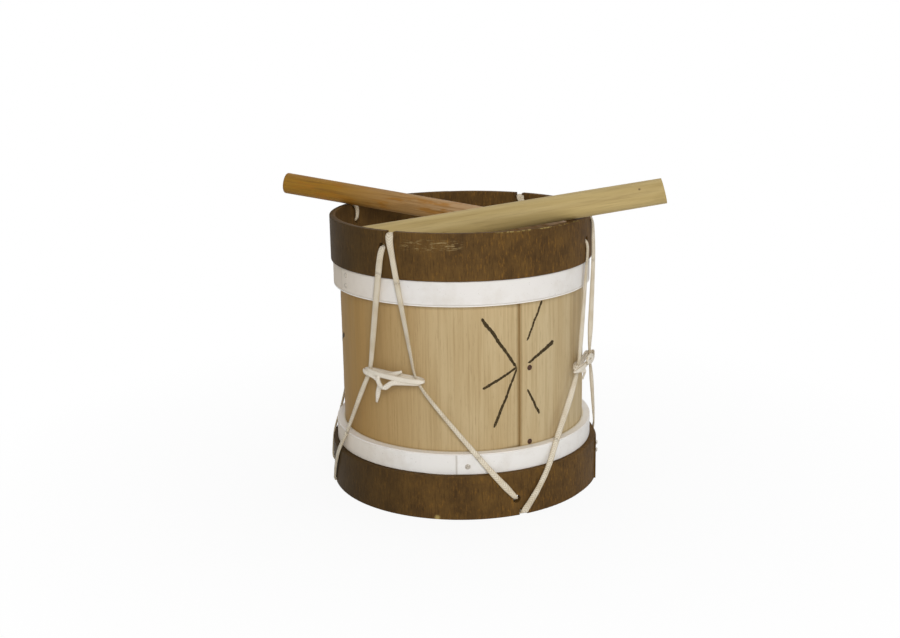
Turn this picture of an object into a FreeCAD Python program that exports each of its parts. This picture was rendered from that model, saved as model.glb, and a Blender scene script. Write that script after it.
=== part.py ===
"""A small bombo: a lace-tensioned wooden drum with two hide heads and its pair of sticks.

Millimetres and degrees. The origin is on the drum's axis in the plane that it stands on, +Z up.
Azimuths are counted from the front of the drum (-Y) towards +X.
"""
import FreeCAD, Part
import math
import os

import Sketcher
from FreeCAD import Placement, Rotation, Vector

doc = FreeCAD.newDocument("Bombo")

# Driving dimensions
SIZES = [
    ("bottom_hoop_height", 32.9, "dark bottom hoop, from the ground"),
    ("bottom_band_height", 15.5, "white band above it"),
    ("shell_visible_height", 106.7, "bare shell between the white bands"),
    ("top_band_height", 18.0, "white band under the top hoop"),
    ("top_hoop_height", 33.4, "dark top hoop"),
    ("shell_radius", 92.0, "outside of the bent plywood"),
    ("shell_wall", 2.0, "plywood thickness"),
    ("top_edge_reach", 7.1, "shell's edge past the upper white band"),
    ("bottom_edge_reach", 7.9, "shell's edge past the lower white band"),
    ("shell_seam_angle", 26.0, "azimuth of the lap's outer end"),
    ("shell_dip_angle", 12.0, "arc over which the sheet dips under the lap"),
    ("shell_overlap_angle", 14.0, "arc of the hidden end inside"),
    ("hide_thickness", 0.8, "rawhide"),
    ("hide_bend_radius", 1.2, "outside bend of the hide over the shell's edge"),
    ("hide_gap", 0.05, "hide to wood"),
    ("flesh_gap", 0.25, "flesh hoop round the hide"),
    ("flesh_rounding", 0.9, "worn long edges of the flesh hoops"),
    ("flesh_lap_step", 1.1, "thin end of the strip at its lap"),
    ("flesh_lap_angle", 15.0, "arc of the flesh hoops' laps"),
    ("top_flesh_wall", 3.6, "upper flesh hoop"),
    ("top_flesh_seam_angle", -64.5, "its lap"),
    ("bottom_flesh_wall", 4.9, "lower flesh hoop"),
    ("bottom_flesh_seam_angle", -3.2, "its lap"),
    ("top_hoop_slip", 0.75, "top counter hoop round the hide"),
    ("top_hoop_wall", 4.6, "its thickness"),
    ("top_hoop_seam_angle", 186.0, "its lap"),
    ("bottom_hoop_slip", 3.55, "bottom counter hoop round the hide"),
    ("bottom_hoop_wall", 5.2, "its thickness"),
    ("bottom_hoop_seam_angle", 77.0, "its lap"),
    ("hoop_lap_step", 1.4, "thin end of the strip at its lap"),
    ("hoop_lap_angle", 20.0, "arc of the top hoop's lap"),
    ("proud_lap_step", 1.1, "the bottom hoop's lap stands proud: rise before the seam, and at it"),
    ("proud_lap_before", 27.0, "arc over which it rises before the seam"),
    ("proud_lap_after", 22.0, "arc over which it comes back after the seam"),
    ("hoop_rounding", 0.7, "worn edges of the counter hoops"),
    ("cord_diameter", 3.0, "lacing"),
    ("cord_gap", 0.3, "lacing to what it passes"),
    ("hole_clearance", 1.5, "lacing hole's wall to the lacing"),
    ("notch_side_clearance", 1.7, "notch's side to the lacing"),
    ("notch_flush", 0.2, "lacing under the edge that it crosses"),
    ("top_hole_drop", 14.0, "lacing holes under the rim"),
    ("front_hole_drop", 11.4, "the front left one"),
    ("right_hole_drop", 17.2, "the right one"),
    ("bottom_hole_rise", 12.9, "lacing holes above the ground"),
    ("edge_bend_radius", 14.0, "lacing over a hoop's edge"),
    ("band_edge_gap", 0.7, "lacing to the lower white band's edge"),
    ("strand_slack", 0.3, "strand off the tie's back run"),
    ("strand_bend_radius", 7.0, "kink of a strand at its tie"),
    ("tie_diameter", 2.4, "short laces"),
    ("tie_gap", 0.45, "tie to the shell"),
    ("tie_strand_gap", 0.75, "tie's turn round a strand, which leans"),
    ("tie_height", 100.5, "ties above the ground"),
    ("front_tie_lift", 1.8, "front left tie above that height"),
    ("right_tie_lift", -3.6, "right tie above that height"),
    ("tie_tilt", 1.1, "rise of a tie's left end"),
    ("knot_radius", 5.0, "lacing's knot, half its width"),
    ("knot_gap", 0.4, "knot to the ends that it ties"),
    ("nail_head_radius", 2.0, "small nails"),
    ("nail_head_height", 0.9, "their domed heads"),
    ("nail_shank_radius", 0.8, "their shanks"),
    ("nail_hole_gap", 0.05, "shank in its hole"),
    ("nail_edge_offset", 8.0, "nails from the end of the strip"),
    ("proud_nail_offset", 4.0, "the bottom hoop's nails from its end"),
    ("shell_nail_height", 106.0, "middle nail of the shell's lap"),
    ("left_stick_length", 223.0, "left stick"),
    ("right_stick_length", 223.5, "right stick, along its lowest line"),
    ("right_stick_saw_angle", 5.3, "slant of its sawn outer end"),
    ("stick_rounding", 1.6, "worn ends"),
    ("stick_gap", 0.3, "stick to the rim and to the hide"),
    ("left_stick_inner_radius", 7.7, "end on the hide"),
    ("left_stick_outer_radius", 8.0, "end in the air"),
    ("right_stick_inner_radius", 10.1, "end on the hide"),
    ("right_stick_outer_radius", 9.1, "end in the air"),
    ("overrun", 3.0, "cutting solids past what they cut"),
]

sheet = doc.addObject("Spreadsheet::Sheet", "Sizes")
for row, (alias, amount, note) in enumerate(SIZES, start=1):
    sheet.set("A%d" % row, note)
    sheet.set("B%d" % row, str(amount))
    sheet.setAlias("B%d" % row, alias)
doc.recompute()


def value(formula):
    """The number that a formula of sheet values gives."""
    return float(sheet.evalExpression(formula))


# Formulas that several pieces share
SHELL = "Sizes.shell_radius"
LOWER_BAND = "Sizes.bottom_hoop_height"
SHELL_SHOWS = LOWER_BAND + " + Sizes.bottom_band_height"
UPPER_BAND = SHELL_SHOWS + " + Sizes.shell_visible_height"
TOP_HOOP = UPPER_BAND + " + Sizes.top_band_height"
RIM = TOP_HOOP + " + Sizes.top_hoop_height"
SHELL_TOP = TOP_HOOP + " + Sizes.top_edge_reach"
SHELL_FOOT = LOWER_BAND + " - Sizes.bottom_edge_reach"
HEAD_TOP = SHELL_TOP + " + Sizes.hide_thickness"
COLLAR_IN = SHELL + " + Sizes.hide_gap"
COLLAR_OUT = COLLAR_IN + " + Sizes.hide_thickness"
FLESH_IN = COLLAR_OUT + " + Sizes.flesh_gap"
TOP_FLESH_OUT = FLESH_IN + " + Sizes.top_flesh_wall"
BOTTOM_FLESH_OUT = FLESH_IN + " + Sizes.bottom_flesh_wall"
TOP_HOOP_OUT = COLLAR_OUT + " + Sizes.top_hoop_slip + Sizes.top_hoop_wall"
BOTTOM_HOOP_OUT = COLLAR_OUT + " + Sizes.bottom_hoop_slip + Sizes.bottom_hoop_wall"


def azimuth_vector(azimuth):
    return Vector(math.sin(math.radians(azimuth)), -math.cos(math.radians(azimuth)), 0)


def polar(azimuth, radius, height):
    return azimuth_vector(azimuth) * radius + Vector(0, 0, height)


def corner(radius, angle):
    """A corner of a plan outline, as two formulas: azimuth 0 is the sketch's -Y."""
    return ("(%s) * sin(%s)" % (radius, angle), "-(%s) * cos(%s)" % (radius, angle))


# Sketches whose corners are bound to the sheet
def new_sketch(body, role, name):
    sketch = body.newObject("Sketcher::SketchObject", name)
    plane = next(item for item in body.Origin.OriginFeatures if item.Role == role)
    sketch.AttachmentSupport = [(plane, "")]
    sketch.MapMode = "FlatFace"
    return sketch


def arc_between(start, end, radius, anticlockwise):
    """The shorter arc from start to end, and whether the sketch stores it from the start."""
    chord = end - start
    rise = math.sqrt(radius ** 2 - (chord.Length / 2) ** 2)
    side = Vector(-chord.y, chord.x, 0).normalize() * (rise if anticlockwise else -rise)
    centre = (start + end) / 2 + side
    circle = Part.Circle(centre, Vector(0, 0, 1), radius)
    first, last = (start, end) if anticlockwise else (end, start)
    angles = [math.atan2(point.y - centre.y, point.x - centre.x) for point in (first, last)]
    return Part.ArcOfCircle(circle, angles[0], angles[1])


def draw_outline(sketch, corners, arcs=None):
    """A closed outline: corners are pairs of formulas, arcs gives a side its radius and sense."""
    arcs = arcs or {}
    count = len(corners)
    points = [Vector(value(x), value(y), 0) for x, y in corners]
    ends = []
    for side in range(count):
        start, end = points[side], points[(side + 1) % count]
        if side in arcs:
            radius, anticlockwise = arcs[side]
            index = sketch.addGeometry(arc_between(start, end, value(radius), anticlockwise), False)
            ends.append((index, 1, 2) if anticlockwise else (index, 2, 1))
        else:
            index = sketch.addGeometry(Part.LineSegment(start, end), False)
            ends.append((index, 1, 2))
    for side in range(count):
        this, following = ends[side], ends[(side + 1) % count]
        sketch.addConstraint(Sketcher.Constraint("Coincident", this[0], this[2], following[0], following[1]))
    for side, (x, y) in enumerate(corners):
        for kind, formula, axis in (("DistanceX", x, -2), ("DistanceY", y, -1)):
            index, start_of = ends[side][0], ends[side][1]
            if formula == "0":
                sketch.addConstraint(Sketcher.Constraint("PointOnObject", index, start_of, axis))
                continue
            made = sketch.addConstraint(
                Sketcher.Constraint(kind, -1, 1, index, start_of, value(formula)))
            sketch.setExpression("Constraints[%d]" % made, formula)
    for side, (radius, _) in arcs.items():
        made = sketch.addConstraint(Sketcher.Constraint("Radius", ends[side][0], value(radius)))
        sketch.setExpression("Constraints[%d]" % made, radius)
    return sketch


def turned_body(label, corners):
    """A body of revolution about Z from a profile of (radius, height) formulas."""
    body = doc.addObject("PartDesign::Body", label)
    sketch = draw_outline(new_sketch(body, "XZ_Plane", label + "_profile"), corners)
    turned = body.newObject("PartDesign::Revolution", label + "_turned")
    turned.Profile = sketch
    turned.ReferenceAxis = (sketch, ["V_Axis"])
    turned.Angle = 360
    doc.recompute()
    return body


def round_edges(body, radius, wanted):
    """Fillet those circular edges whose (radius, height) are among the wanted pairs of formulas."""
    places = [(value(r), value(z)) for r, z in wanted]
    names = []
    base = body.Tip
    for number, edge in enumerate(base.Shape.Edges, start=1):
        if not isinstance(edge.Curve, Part.Circle):
            continue
        found = (edge.Curve.Radius, edge.Curve.Center.z)
        if any(math.dist(found, place) < TOLERANCE for place in places):
            names.append("Edge%d" % number)
    fillet = body.newObject("PartDesign::Fillet", body.Label + "_rounding")
    fillet.Base = (base, names)
    fillet.setExpression("Radius", radius)
    body.Tip = fillet
    doc.recompute()
    return body


TOLERANCE = value("Sizes.hide_gap") / 10


def thin_lap(body, outside, seam, arc, step):
    """Thin the strip's outer face before its seam, so that the end on top stands proud there."""
    sketch = new_sketch(body, "XY_Plane", body.Label + "_lap")
    start = "%s - %s" % (seam, arc)
    beyond = outside + " + Sizes.overrun"
    corners = [corner(outside, start), corner("%s - %s" % (outside, step), seam),
               corner(beyond, seam), corner(beyond, start)]
    draw_outline(sketch, corners, {0: (outside, True)})
    pocket = body.newObject("PartDesign::Pocket", body.Label + "_thinned")
    pocket.Profile = sketch
    pocket.Type = "ThroughAll"
    pocket.Midplane = True
    body.Tip = pocket
    before = body.Shape.Volume
    doc.recompute()
    if not body.Shape.Volume < before:
        raise ValueError(body.Label + ": the lap cut nothing")
    return body


def proud_lap(body, outside, seam, low, high):
    """Thicken the strip's outer face about its seam, where its end on top has sprung outwards."""
    sketch = new_sketch(body, "XY_Plane", body.Label + "_lap")
    sketch.setExpression("AttachmentOffset.Base.z", low)
    buried = outside + " - 2 * Sizes.hoop_rounding"
    start = seam + " - Sizes.proud_lap_before"
    end = seam + " + Sizes.proud_lap_after"
    corners = [corner(buried, start), corner(outside + " + Sizes.proud_lap_step", seam),
               corner(outside + " + 2 * Sizes.proud_lap_step", seam), corner(buried, end)]
    draw_outline(sketch, corners, {0: (outside, True), 2: (outside, True), 3: (buried, False)})
    pad = body.newObject("PartDesign::Pad", body.Label + "_thickened")
    pad.Profile = sketch
    pad.setExpression("Length", "(%s) - (%s)" % (high, low))
    body.Tip = pad
    doc.recompute()
    return body


# Cutting solids
def radial_cylinder(name, azimuth, height, radius, inner, outer):
    """A round bar along the radius at an azimuth, between two radii."""
    bar = doc.addObject("Part::Cylinder", name)
    bar.setExpression("Radius", radius)
    bar.setExpression("Height", "(%s) - (%s)" % (outer, inner))
    across = Vector(math.cos(math.radians(azimuth)), math.sin(math.radians(azimuth)), 0)
    bar.Placement = Placement(polar(azimuth, value(inner), value(height)), Rotation(across, 90))
    bar.setExpression("Placement.Base.z", height)
    return bar


def notch(name, azimuth, outside, wall, edge, upwards):
    """A slot in a hoop's edge whose floor is a full round, for the lacing to bend over."""
    half_wall = "(%s) / 2" % wall
    depth = "%s + Sizes.cord_gap + Sizes.cord_diameter + Sizes.notch_flush" % half_wall
    width = "Sizes.cord_diameter + 2 * Sizes.notch_side_clearance"
    slot = doc.addObject("Part::Box", name + "_slot")
    slot.setExpression("Length", "%s + 2 * Sizes.overrun" % wall)
    slot.setExpression("Width", width)
    slot.setExpression("Height", "%s + Sizes.overrun" % depth)
    slot.setExpression("Placement.Base.x", "-(%s) - Sizes.overrun" % half_wall)
    slot.setExpression("Placement.Base.y", "-(%s) / 2" % width)
    floor = doc.addObject("Part::Cylinder", name + "_floor")
    floor.setExpression("Radius", half_wall)
    floor.setExpression("Height", "%s + 2 * Sizes.overrun" % width)
    floor.Placement.Rotation = Rotation(Vector(1, 0, 0), -90)
    floor.setExpression("Placement.Base.y", "-(%s) / 2 - Sizes.overrun" % width)
    tool = doc.addObject("Part::Cut", name)
    tool.Base = slot
    tool.Tool = floor
    spin = Rotation(Vector(0, 0, 1), azimuth - 90)
    if upwards:
        axis_height = value("%s - (%s)" % (edge, depth))
    else:
        axis_height = value("%s + (%s)" % (edge, depth))
        spin = spin * Rotation(Vector(1, 0, 0), 180)
    tool.Placement = Placement(polar(azimuth, value("%s - %s" % (outside, half_wall)), axis_height), spin)
    return tool


def cut_away(label, blank, tools):
    tool = tools[0]
    if len(tools) > 1:
        tool = doc.addObject("Part::MultiFuse", label + "_tools")
        tool.Shapes = tools
    piece = doc.addObject("Part::Cut", label)
    piece.Base = blank
    piece.Tool = tool
    return piece


# Nails
def nail(name, azimuth, height, surface, length):
    """One nail driven in along the radius, its domed head on a surface."""
    shank = radial_cylinder(name + "_shank", azimuth, height, "Sizes.nail_shank_radius",
                            "%s - (%s)" % (surface, length), surface)
    head = doc.addObject("Part::Cone", name + "_head")
    head.setExpression("Radius1", "Sizes.nail_head_radius")
    head.setExpression("Radius2", "Sizes.nail_head_radius / 2")
    head.setExpression("Height", "Sizes.nail_head_height")
    head.Placement = Placement(polar(azimuth, value(surface), value(height)), shank.Placement.Rotation)
    head.setExpression("Placement.Base.z", height)
    whole = doc.addObject("Part::MultiFuse", name)
    whole.Shapes = [shank, head]
    return whole


def nail_hole(name, azimuth, height, surface, length):
    return radial_cylinder(name, azimuth, height, "Sizes.nail_shank_radius + Sizes.nail_hole_gap",
                           "%s - (%s) - Sizes.nail_hole_gap" % (surface, length),
                           surface + " + Sizes.overrun")


def nail_group(label, nails):
    group = doc.addObject("Part::Compound", label)
    group.Links = nails
    return group


def past_seam(seam, radius, offset="Sizes.nail_edge_offset"):
    """Azimuth of a nail that holds down the end on top of a lap."""
    return value(seam) + math.degrees(value(offset) / value(radius))


# Lacing stations, in the order of the lace: azimuths of the hole and of the notch beside it
BOTTOM_STATIONS = [("back", 187.0, 190.5), ("left", 275.5, 282.5), ("front", 381.5, 384.6),
                   ("right", 466.0, 469.5)]
TOP_STATIONS = [("back_left", 240.8, 242.4, "Sizes.top_hole_drop"),
                ("front_left", 326.2, 329.9, "Sizes.front_hole_drop"),
                ("right", 428.0, 436.0, "Sizes.right_hole_drop"),
                ("back_right", 504.3, 509.8, "Sizes.top_hole_drop")]
HOLE_RADIUS = "Sizes.cord_diameter / 2 + Sizes.hole_clearance"


# Shell: a sheet bent to a tube, its end on top standing proud at the seam
shell_blank = turned_body("shell_blank", [
    (SHELL + " - Sizes.shell_wall", SHELL_FOOT), (SHELL, SHELL_FOOT),
    (SHELL, SHELL_TOP), (SHELL + " - Sizes.shell_wall", SHELL_TOP)])
SEAM_DIP_SHARE = 0.75
thin_lap(shell_blank, SHELL, "Sizes.shell_seam_angle", "Sizes.shell_dip_angle",
         "Sizes.shell_wall * %s" % SEAM_DIP_SHARE)
inside = SHELL + " - Sizes.shell_wall"
middle = SHELL + " - Sizes.shell_wall / 2"
buried = "%s - Sizes.shell_wall * %s" % (SHELL, (1 + SEAM_DIP_SHARE) / 2)
hidden_face = "%s - Sizes.shell_wall * %s" % (SHELL, 1 + SEAM_DIP_SHARE)
ramp_start = "Sizes.shell_seam_angle - Sizes.shell_dip_angle"
ramp_end = "Sizes.shell_seam_angle"
hidden_end = "Sizes.shell_seam_angle + Sizes.shell_overlap_angle"
lap_sketch = new_sketch(shell_blank, "XY_Plane", "shell_hidden_end")
lap_sketch.setExpression("AttachmentOffset.Base.z", SHELL_FOOT)
draw_outline(lap_sketch, [corner(middle, ramp_start), corner(buried, ramp_end), corner(buried, hidden_end),
                          corner(hidden_face, hidden_end), corner(hidden_face, ramp_end),
                          corner(inside, ramp_start)],
             {0: (buried, True), 1: (buried, True), 3: (hidden_face, False)})
lap_pad = shell_blank.newObject("PartDesign::Pad", "shell_hidden_end_pad")
lap_pad.Profile = lap_sketch
lap_pad.setExpression("Length", "(%s) - (%s)" % (SHELL_TOP, SHELL_FOOT))
shell_blank.Tip = lap_pad
doc.recompute()

shell_nail_azimuth = past_seam("Sizes.shell_seam_angle", SHELL)
shell_nail_length = "Sizes.shell_wall * 2"
low_nail_height = SHELL_SHOWS + " + Sizes.nail_head_radius + Sizes.cord_gap"
shell_nail_heights = ["Sizes.shell_nail_height", low_nail_height]
shell = cut_away("shell", shell_blank, [
    nail_hole("shell_nail_hole_%d" % n, shell_nail_azimuth, z, SHELL, shell_nail_length)
    for n, z in enumerate(shell_nail_heights)])
nail_group("shell_seam_nails", [
    nail("shell_nail_%d" % n, shell_nail_azimuth, z, SHELL, shell_nail_length)
    for n, z in enumerate(shell_nail_heights)])


# Heads: hide drawn over the shell's edge, down inside the flesh hoop and out under it
def head(label, disc_face, into_shell, lip_face, flesh_out):
    """disc_face is the hide's outer face, lip_face the outer face of its turned-out lip."""
    under = "%s %s Sizes.hide_thickness" % (disc_face, into_shell)
    lip_back = "%s %s Sizes.hide_thickness" % (lip_face, "+" if into_shell == "-" else "-")
    body = turned_body(label, [
        ("0", disc_face), (COLLAR_OUT, disc_face), (COLLAR_OUT, lip_back), (flesh_out, lip_back),
        (flesh_out, lip_face), (COLLAR_IN, lip_face), (COLLAR_IN, under), ("0", under)])
    return round_edges(body, "Sizes.hide_bend_radius", [(COLLAR_OUT, disc_face)])


head("top_head", HEAD_TOP, "-", UPPER_BAND, TOP_FLESH_OUT)
head("bottom_head", SHELL_FOOT + " - Sizes.hide_thickness", "+", SHELL_SHOWS, BOTTOM_FLESH_OUT)


# Flesh hoops: white-painted strips that hold the hide
def flesh_hoop(label, low, high, outside, seam, nail_height_shares):
    blank = turned_body(label + "_blank", [(FLESH_IN, low), (outside, low), (outside, high),
                                           (FLESH_IN, high)])
    round_edges(blank, "Sizes.flesh_rounding", [(outside, low), (outside, high)])
    thin_lap(blank, outside, seam, "Sizes.flesh_lap_angle", "Sizes.flesh_lap_step")
    azimuth = past_seam(seam, outside)
    length = outside + " - (%s)" % FLESH_IN
    heights = ["(%s) + ((%s) - (%s)) * %s" % (low, high, low, share) for share in nail_height_shares]
    holes = [nail_hole("%s_hole_%d" % (label, n), azimuth, z, outside, length)
             for n, z in enumerate(heights)]
    cut_away(label, blank, holes)
    nail_group(label + "_nails", [nail("%s_nail_%d" % (label, n), azimuth, z, outside, length)
                                  for n, z in enumerate(heights)])


flesh_hoop("top_flesh_hoop", UPPER_BAND + " + Sizes.hide_thickness", TOP_HOOP, TOP_FLESH_OUT,
           "Sizes.top_flesh_seam_angle", (0.28, 0.72))
flesh_hoop("bottom_flesh_hoop", LOWER_BAND, SHELL_SHOWS + " - Sizes.hide_thickness",
           BOTTOM_FLESH_OUT, "Sizes.bottom_flesh_seam_angle", (0.42,))


# Counter hoops: dark bentwood, laced through their holes and over the notches in their edges
PROUD_NAIL_SHARE = 1.9


def counter_hoop(label, low, high, outside, wall, seam, nail_height_shares, stations, upwards):
    inner = "%s - %s" % (outside, wall)
    nail_face = outside if upwards else "%s + Sizes.proud_lap_step * %s" % (outside, PROUD_NAIL_SHARE)
    blank = turned_body(label + "_blank", [(inner, low), (outside, low), (outside, high), (inner, high)])
    round_edges(blank, "Sizes.hoop_rounding",
                [(r, z) for r in (inner, outside) for z in (low, high)])
    if upwards:
        thin_lap(blank, outside, seam, "Sizes.hoop_lap_angle", "Sizes.hoop_lap_step")
    else:
        proud_lap(blank, outside, seam, low, high)
    tools = []
    for name, hole_azimuth, notch_azimuth, hole_height in stations:
        tools.append(radial_cylinder("%s_%s_hole" % (label, name), hole_azimuth, hole_height, HOLE_RADIUS,
                                     inner + " - Sizes.overrun", outside + " + Sizes.overrun"))
        tools.append(notch("%s_%s_notch" % (label, name), notch_azimuth, outside, wall,
                           high if upwards else low, upwards))
    azimuth = past_seam(seam, outside, "Sizes.nail_edge_offset" if upwards else "Sizes.proud_nail_offset")
    nails = []
    for number, share in enumerate(nail_height_shares):
        height = "(%s) + ((%s) - (%s)) * %s" % (low, high, low, share)
        tools.append(nail_hole("%s_nail_hole_%d" % (label, number), azimuth, height, nail_face, wall))
        nails.append(nail("%s_nail_%d" % (label, number), azimuth, height, nail_face, wall))
    cut_away(label, blank, tools)
    nail_group(label + "_nails", nails)


top_stations = [(name, hole, slot, "%s - %s" % (RIM, drop)) for name, hole, slot, drop in TOP_STATIONS]
bottom_stations = [(name, hole, slot, "Sizes.bottom_hole_rise") for name, hole, slot in BOTTOM_STATIONS]
counter_hoop("top_counter_hoop", TOP_HOOP, RIM, TOP_HOOP_OUT, "Sizes.top_hoop_wall",
             "Sizes.top_hoop_seam_angle", (0.25, 0.75), top_stations, True)
counter_hoop("bottom_counter_hoop", "0", LOWER_BAND, BOTTOM_HOOP_OUT, "Sizes.bottom_hoop_wall",
             "Sizes.bottom_hoop_seam_angle", (0.66, 0.84), bottom_stations, False)


# Cords: straight runs joined by tangent arcs, as one tube
def bend_at(before, here, after, radius):
    """Where an arc of that radius, or the largest that fits, leaves the two runs at a corner."""
    back = (before - here).normalize()
    ahead = (after - here).normalize()
    turn = math.pi - back.getAngle(ahead)
    most = RUN_SHARE * min((before - here).Length, (after - here).Length)
    reach = min(radius * math.tan(turn / 2), most)
    radius = reach / math.tan(turn / 2)
    to_centre = (back + ahead).normalize()
    centre = here + to_centre * (radius / math.cos(turn / 2))
    return here + back * reach, centre - to_centre * radius, here + ahead * reach, radius


RUN_SHARE = 0.498


def tube(label, points, bends, diameter):
    """points are places, bends the wanted radius at each inner one; prints what it measures."""
    edges = []
    radii = []
    start = points[0]
    for index, radius in enumerate(bends, start=1):
        enter, middle, leave, made = bend_at(points[index - 1], points[index], points[index + 1], radius)
        edges.append(Part.LineSegment(start, enter).toShape())
        edges.append(Part.Arc(enter, middle, leave).toShape())
        radii.append(made)
        start = leave
    edges.append(Part.LineSegment(start, points[-1]).toShape())
    path = Part.Wire(edges)
    ring = Part.Wire([Part.makeCircle(diameter / 2, points[0], points[1] - points[0])])
    solid = path.makePipeShell([ring], True, False)
    expected = math.pi * (diameter / 2) ** 2 * path.Length
    print("%s: length %.0f, volume %.4f of section x length, least radius %.2f, least gap to itself %.2f"
          % (label, path.Length, solid.Volume / expected, min(radii), own_gap(path, diameter)))
    feature = doc.addObject("Part::Feature", label)
    feature.Shape = solid
    feature.Placement = Placement()
    return feature


STEPS_PER_DIAMETER = 4


def own_gap(path, diameter):
    """Least distance between stretches of the tube that aren't neighbours, surface to surface."""
    count = int(path.Length / diameter * STEPS_PER_DIAMETER)
    points = path.discretize(Number=count)
    apart = 1 + int(count * math.pi * diameter / path.Length)
    least = min((points[i] - points[j]).Length for i in range(count) for j in range(i + apart, count))
    return least - diameter


cord_radius = value("Sizes.cord_diameter / 2")
bend_radius = value("Sizes.cord_diameter")
edge_bend = value("Sizes.edge_bend_radius")
strand_bend = value("Sizes.strand_bend_radius")
clear = value("Sizes.cord_diameter / 2 + Sizes.cord_gap")
tie_turn = value("(Sizes.cord_diameter + Sizes.tie_diameter) / 2 + Sizes.tie_strand_gap")
strand_radius = value(SHELL + " + Sizes.tie_gap + Sizes.tie_diameter / 2 + Sizes.strand_slack") + tie_turn
band_out = value(BOTTOM_FLESH_OUT + " + Sizes.band_edge_gap") + cord_radius


def hoop_places(outside, wall, edge, upwards, hole_height):
    """Radii and heights of the lacing at a hoop: outside it, inside it, at its hole and at its edge."""
    sense = 1 if upwards else -1
    half_wall = value(wall) / 2
    middle = value(outside) - half_wall
    crest_bend = half_wall + clear
    out = middle + crest_bend
    inside_run = middle - crest_bend
    edge_height = value(edge) - sense * (value("Sizes.notch_flush") + cord_radius)
    return out, inside_run, value(hole_height), edge_height, crest_bend


def between(first, second, height):
    """Azimuth at a height on the straight way between two (azimuth, height) places."""
    share = (height - first[1]) / (second[1] - first[1])
    return first[0] + (second[0] - first[0]) * share


def along_hoop(first, second, radius):
    """The corner between two (azimuth, height) places that keeps the lace off the hoop's curve."""
    azimuth = (first[0] + second[0]) / 2
    away = radius / math.cos(math.radians(second[0] - first[0]) / 2)
    return azimuth, away, (first[1] + second[1]) / 2, radius


# Ties, in the order of the top stations: where each holds its left and right strand
TIES = [("tie_back_left", 228.0, 246.5, "Sizes.tie_height"),
        ("tie_front_left", 317.3, 340.0, "Sizes.tie_height + Sizes.front_tie_lift"),
        ("tie_right", 421.0, 441.0, "Sizes.tie_height + Sizes.right_tie_lift"),
        ("tie_back_right", 499.0, 520.0, "Sizes.tie_height")]
tilt = value("Sizes.tie_tilt")
low_edge = value(LOWER_BAND)
band_edge = value(SHELL_SHOWS)
high_edge = value(TOP_HOOP)


def bay(index):
    """The lace's corners and bends in one bay: up from a bottom notch and down to the next hole."""
    _, hole_top, notch_top, drop = TOP_STATIONS[index]
    _, _, notch_start = BOTTOM_STATIONS[index]
    _, hole_end, _ = BOTTOM_STATIONS[(index + 1) % len(BOTTOM_STATIONS)]
    hole_end += 360 * (hole_end < notch_start)
    _, left, right, height = TIES[index]
    left_tie = (left, value(height) + tilt)
    right_tie = (right, value(height) - tilt)
    out, inside_run, hole, rim, crest = hoop_places(
        TOP_HOOP_OUT, "Sizes.top_hoop_wall", RIM, True, "%s - %s" % (RIM, drop))
    low_out, low_inside, low_hole, ground, low_crest = hoop_places(
        BOTTOM_HOOP_OUT, "Sizes.bottom_hoop_wall", "0", False, "Sizes.bottom_hole_rise")
    rising = (between((notch_start, ground), left_tie, low_edge), low_edge)
    falling = (between((hole_end, low_hole), right_tie, low_edge), low_edge)
    return [
        (notch_start, low_inside, ground, low_crest),
        (notch_start, low_out, ground, low_crest),
        along_hoop((notch_start, ground), rising, low_out),
        (rising[0], low_out, low_edge, edge_bend),
        (between((notch_start, ground), left_tie, band_edge), band_out, band_edge, edge_bend),
        (left_tie[0], strand_radius, left_tie[1], strand_bend),
        (between((hole_top, hole), left_tie, high_edge), out, high_edge, edge_bend),
        (hole_top, out, hole, bend_radius),
        (hole_top, inside_run, hole, bend_radius),
        (notch_top, inside_run, rim, crest),
        (notch_top, out, rim, crest),
        (between((notch_top, rim), right_tie, high_edge), out, high_edge, edge_bend),
        (right_tie[0], strand_radius, right_tie[1], strand_bend),
        (between((hole_end, low_hole), right_tie, band_edge), band_out, band_edge, edge_bend),
        (falling[0], low_out, low_edge, edge_bend),
        along_hoop(falling, (hole_end, low_hole), low_out),
        (hole_end, low_out, low_hole, bend_radius),
        (hole_end, low_inside, low_hole, bend_radius),
    ]


# Both ends of the lace stop at its knot, which lies against the inside of the bottom hoop
route = [corner for index in range(len(TOP_STATIONS)) for corner in bay(index)]
places = [polar(azimuth, radius, height) for azimuth, radius, height, _ in route]
bends = [entry[3] for entry in route]
KNOT_SHARES = (0.9, 0.8, 1.0)
knot_radius = value("Sizes.knot_radius")
knot_gap = value("Sizes.knot_gap")
last_azimuth, _, last_height, _ = route[-1]
knot_surface = value(BOTTOM_HOOP_OUT + " - Sizes.bottom_hoop_wall - Sizes.cord_gap")
knot_place = polar(last_azimuth, knot_surface - knot_radius * KNOT_SHARES[1], last_height)
to_knot = (knot_place - places[0]).normalize()
start_place = knot_place - to_knot * (knot_radius + knot_gap)
end_place = polar(last_azimuth, knot_surface + knot_gap, last_height)
tube("lacing_cord", [start_place] + places[:-1] + [end_place], bends[:-1], 2 * cord_radius)

knot = doc.addObject("Part::Ellipsoid", "lacing_knot")
for prop, share in zip(("Radius1", "Radius2", "Radius3"), KNOT_SHARES):
    knot.setExpression(prop, "Sizes.knot_radius * %s" % share)
knot.Placement = Placement(knot_place, Rotation(Vector(0, 0, 1), last_azimuth - 90))

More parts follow.
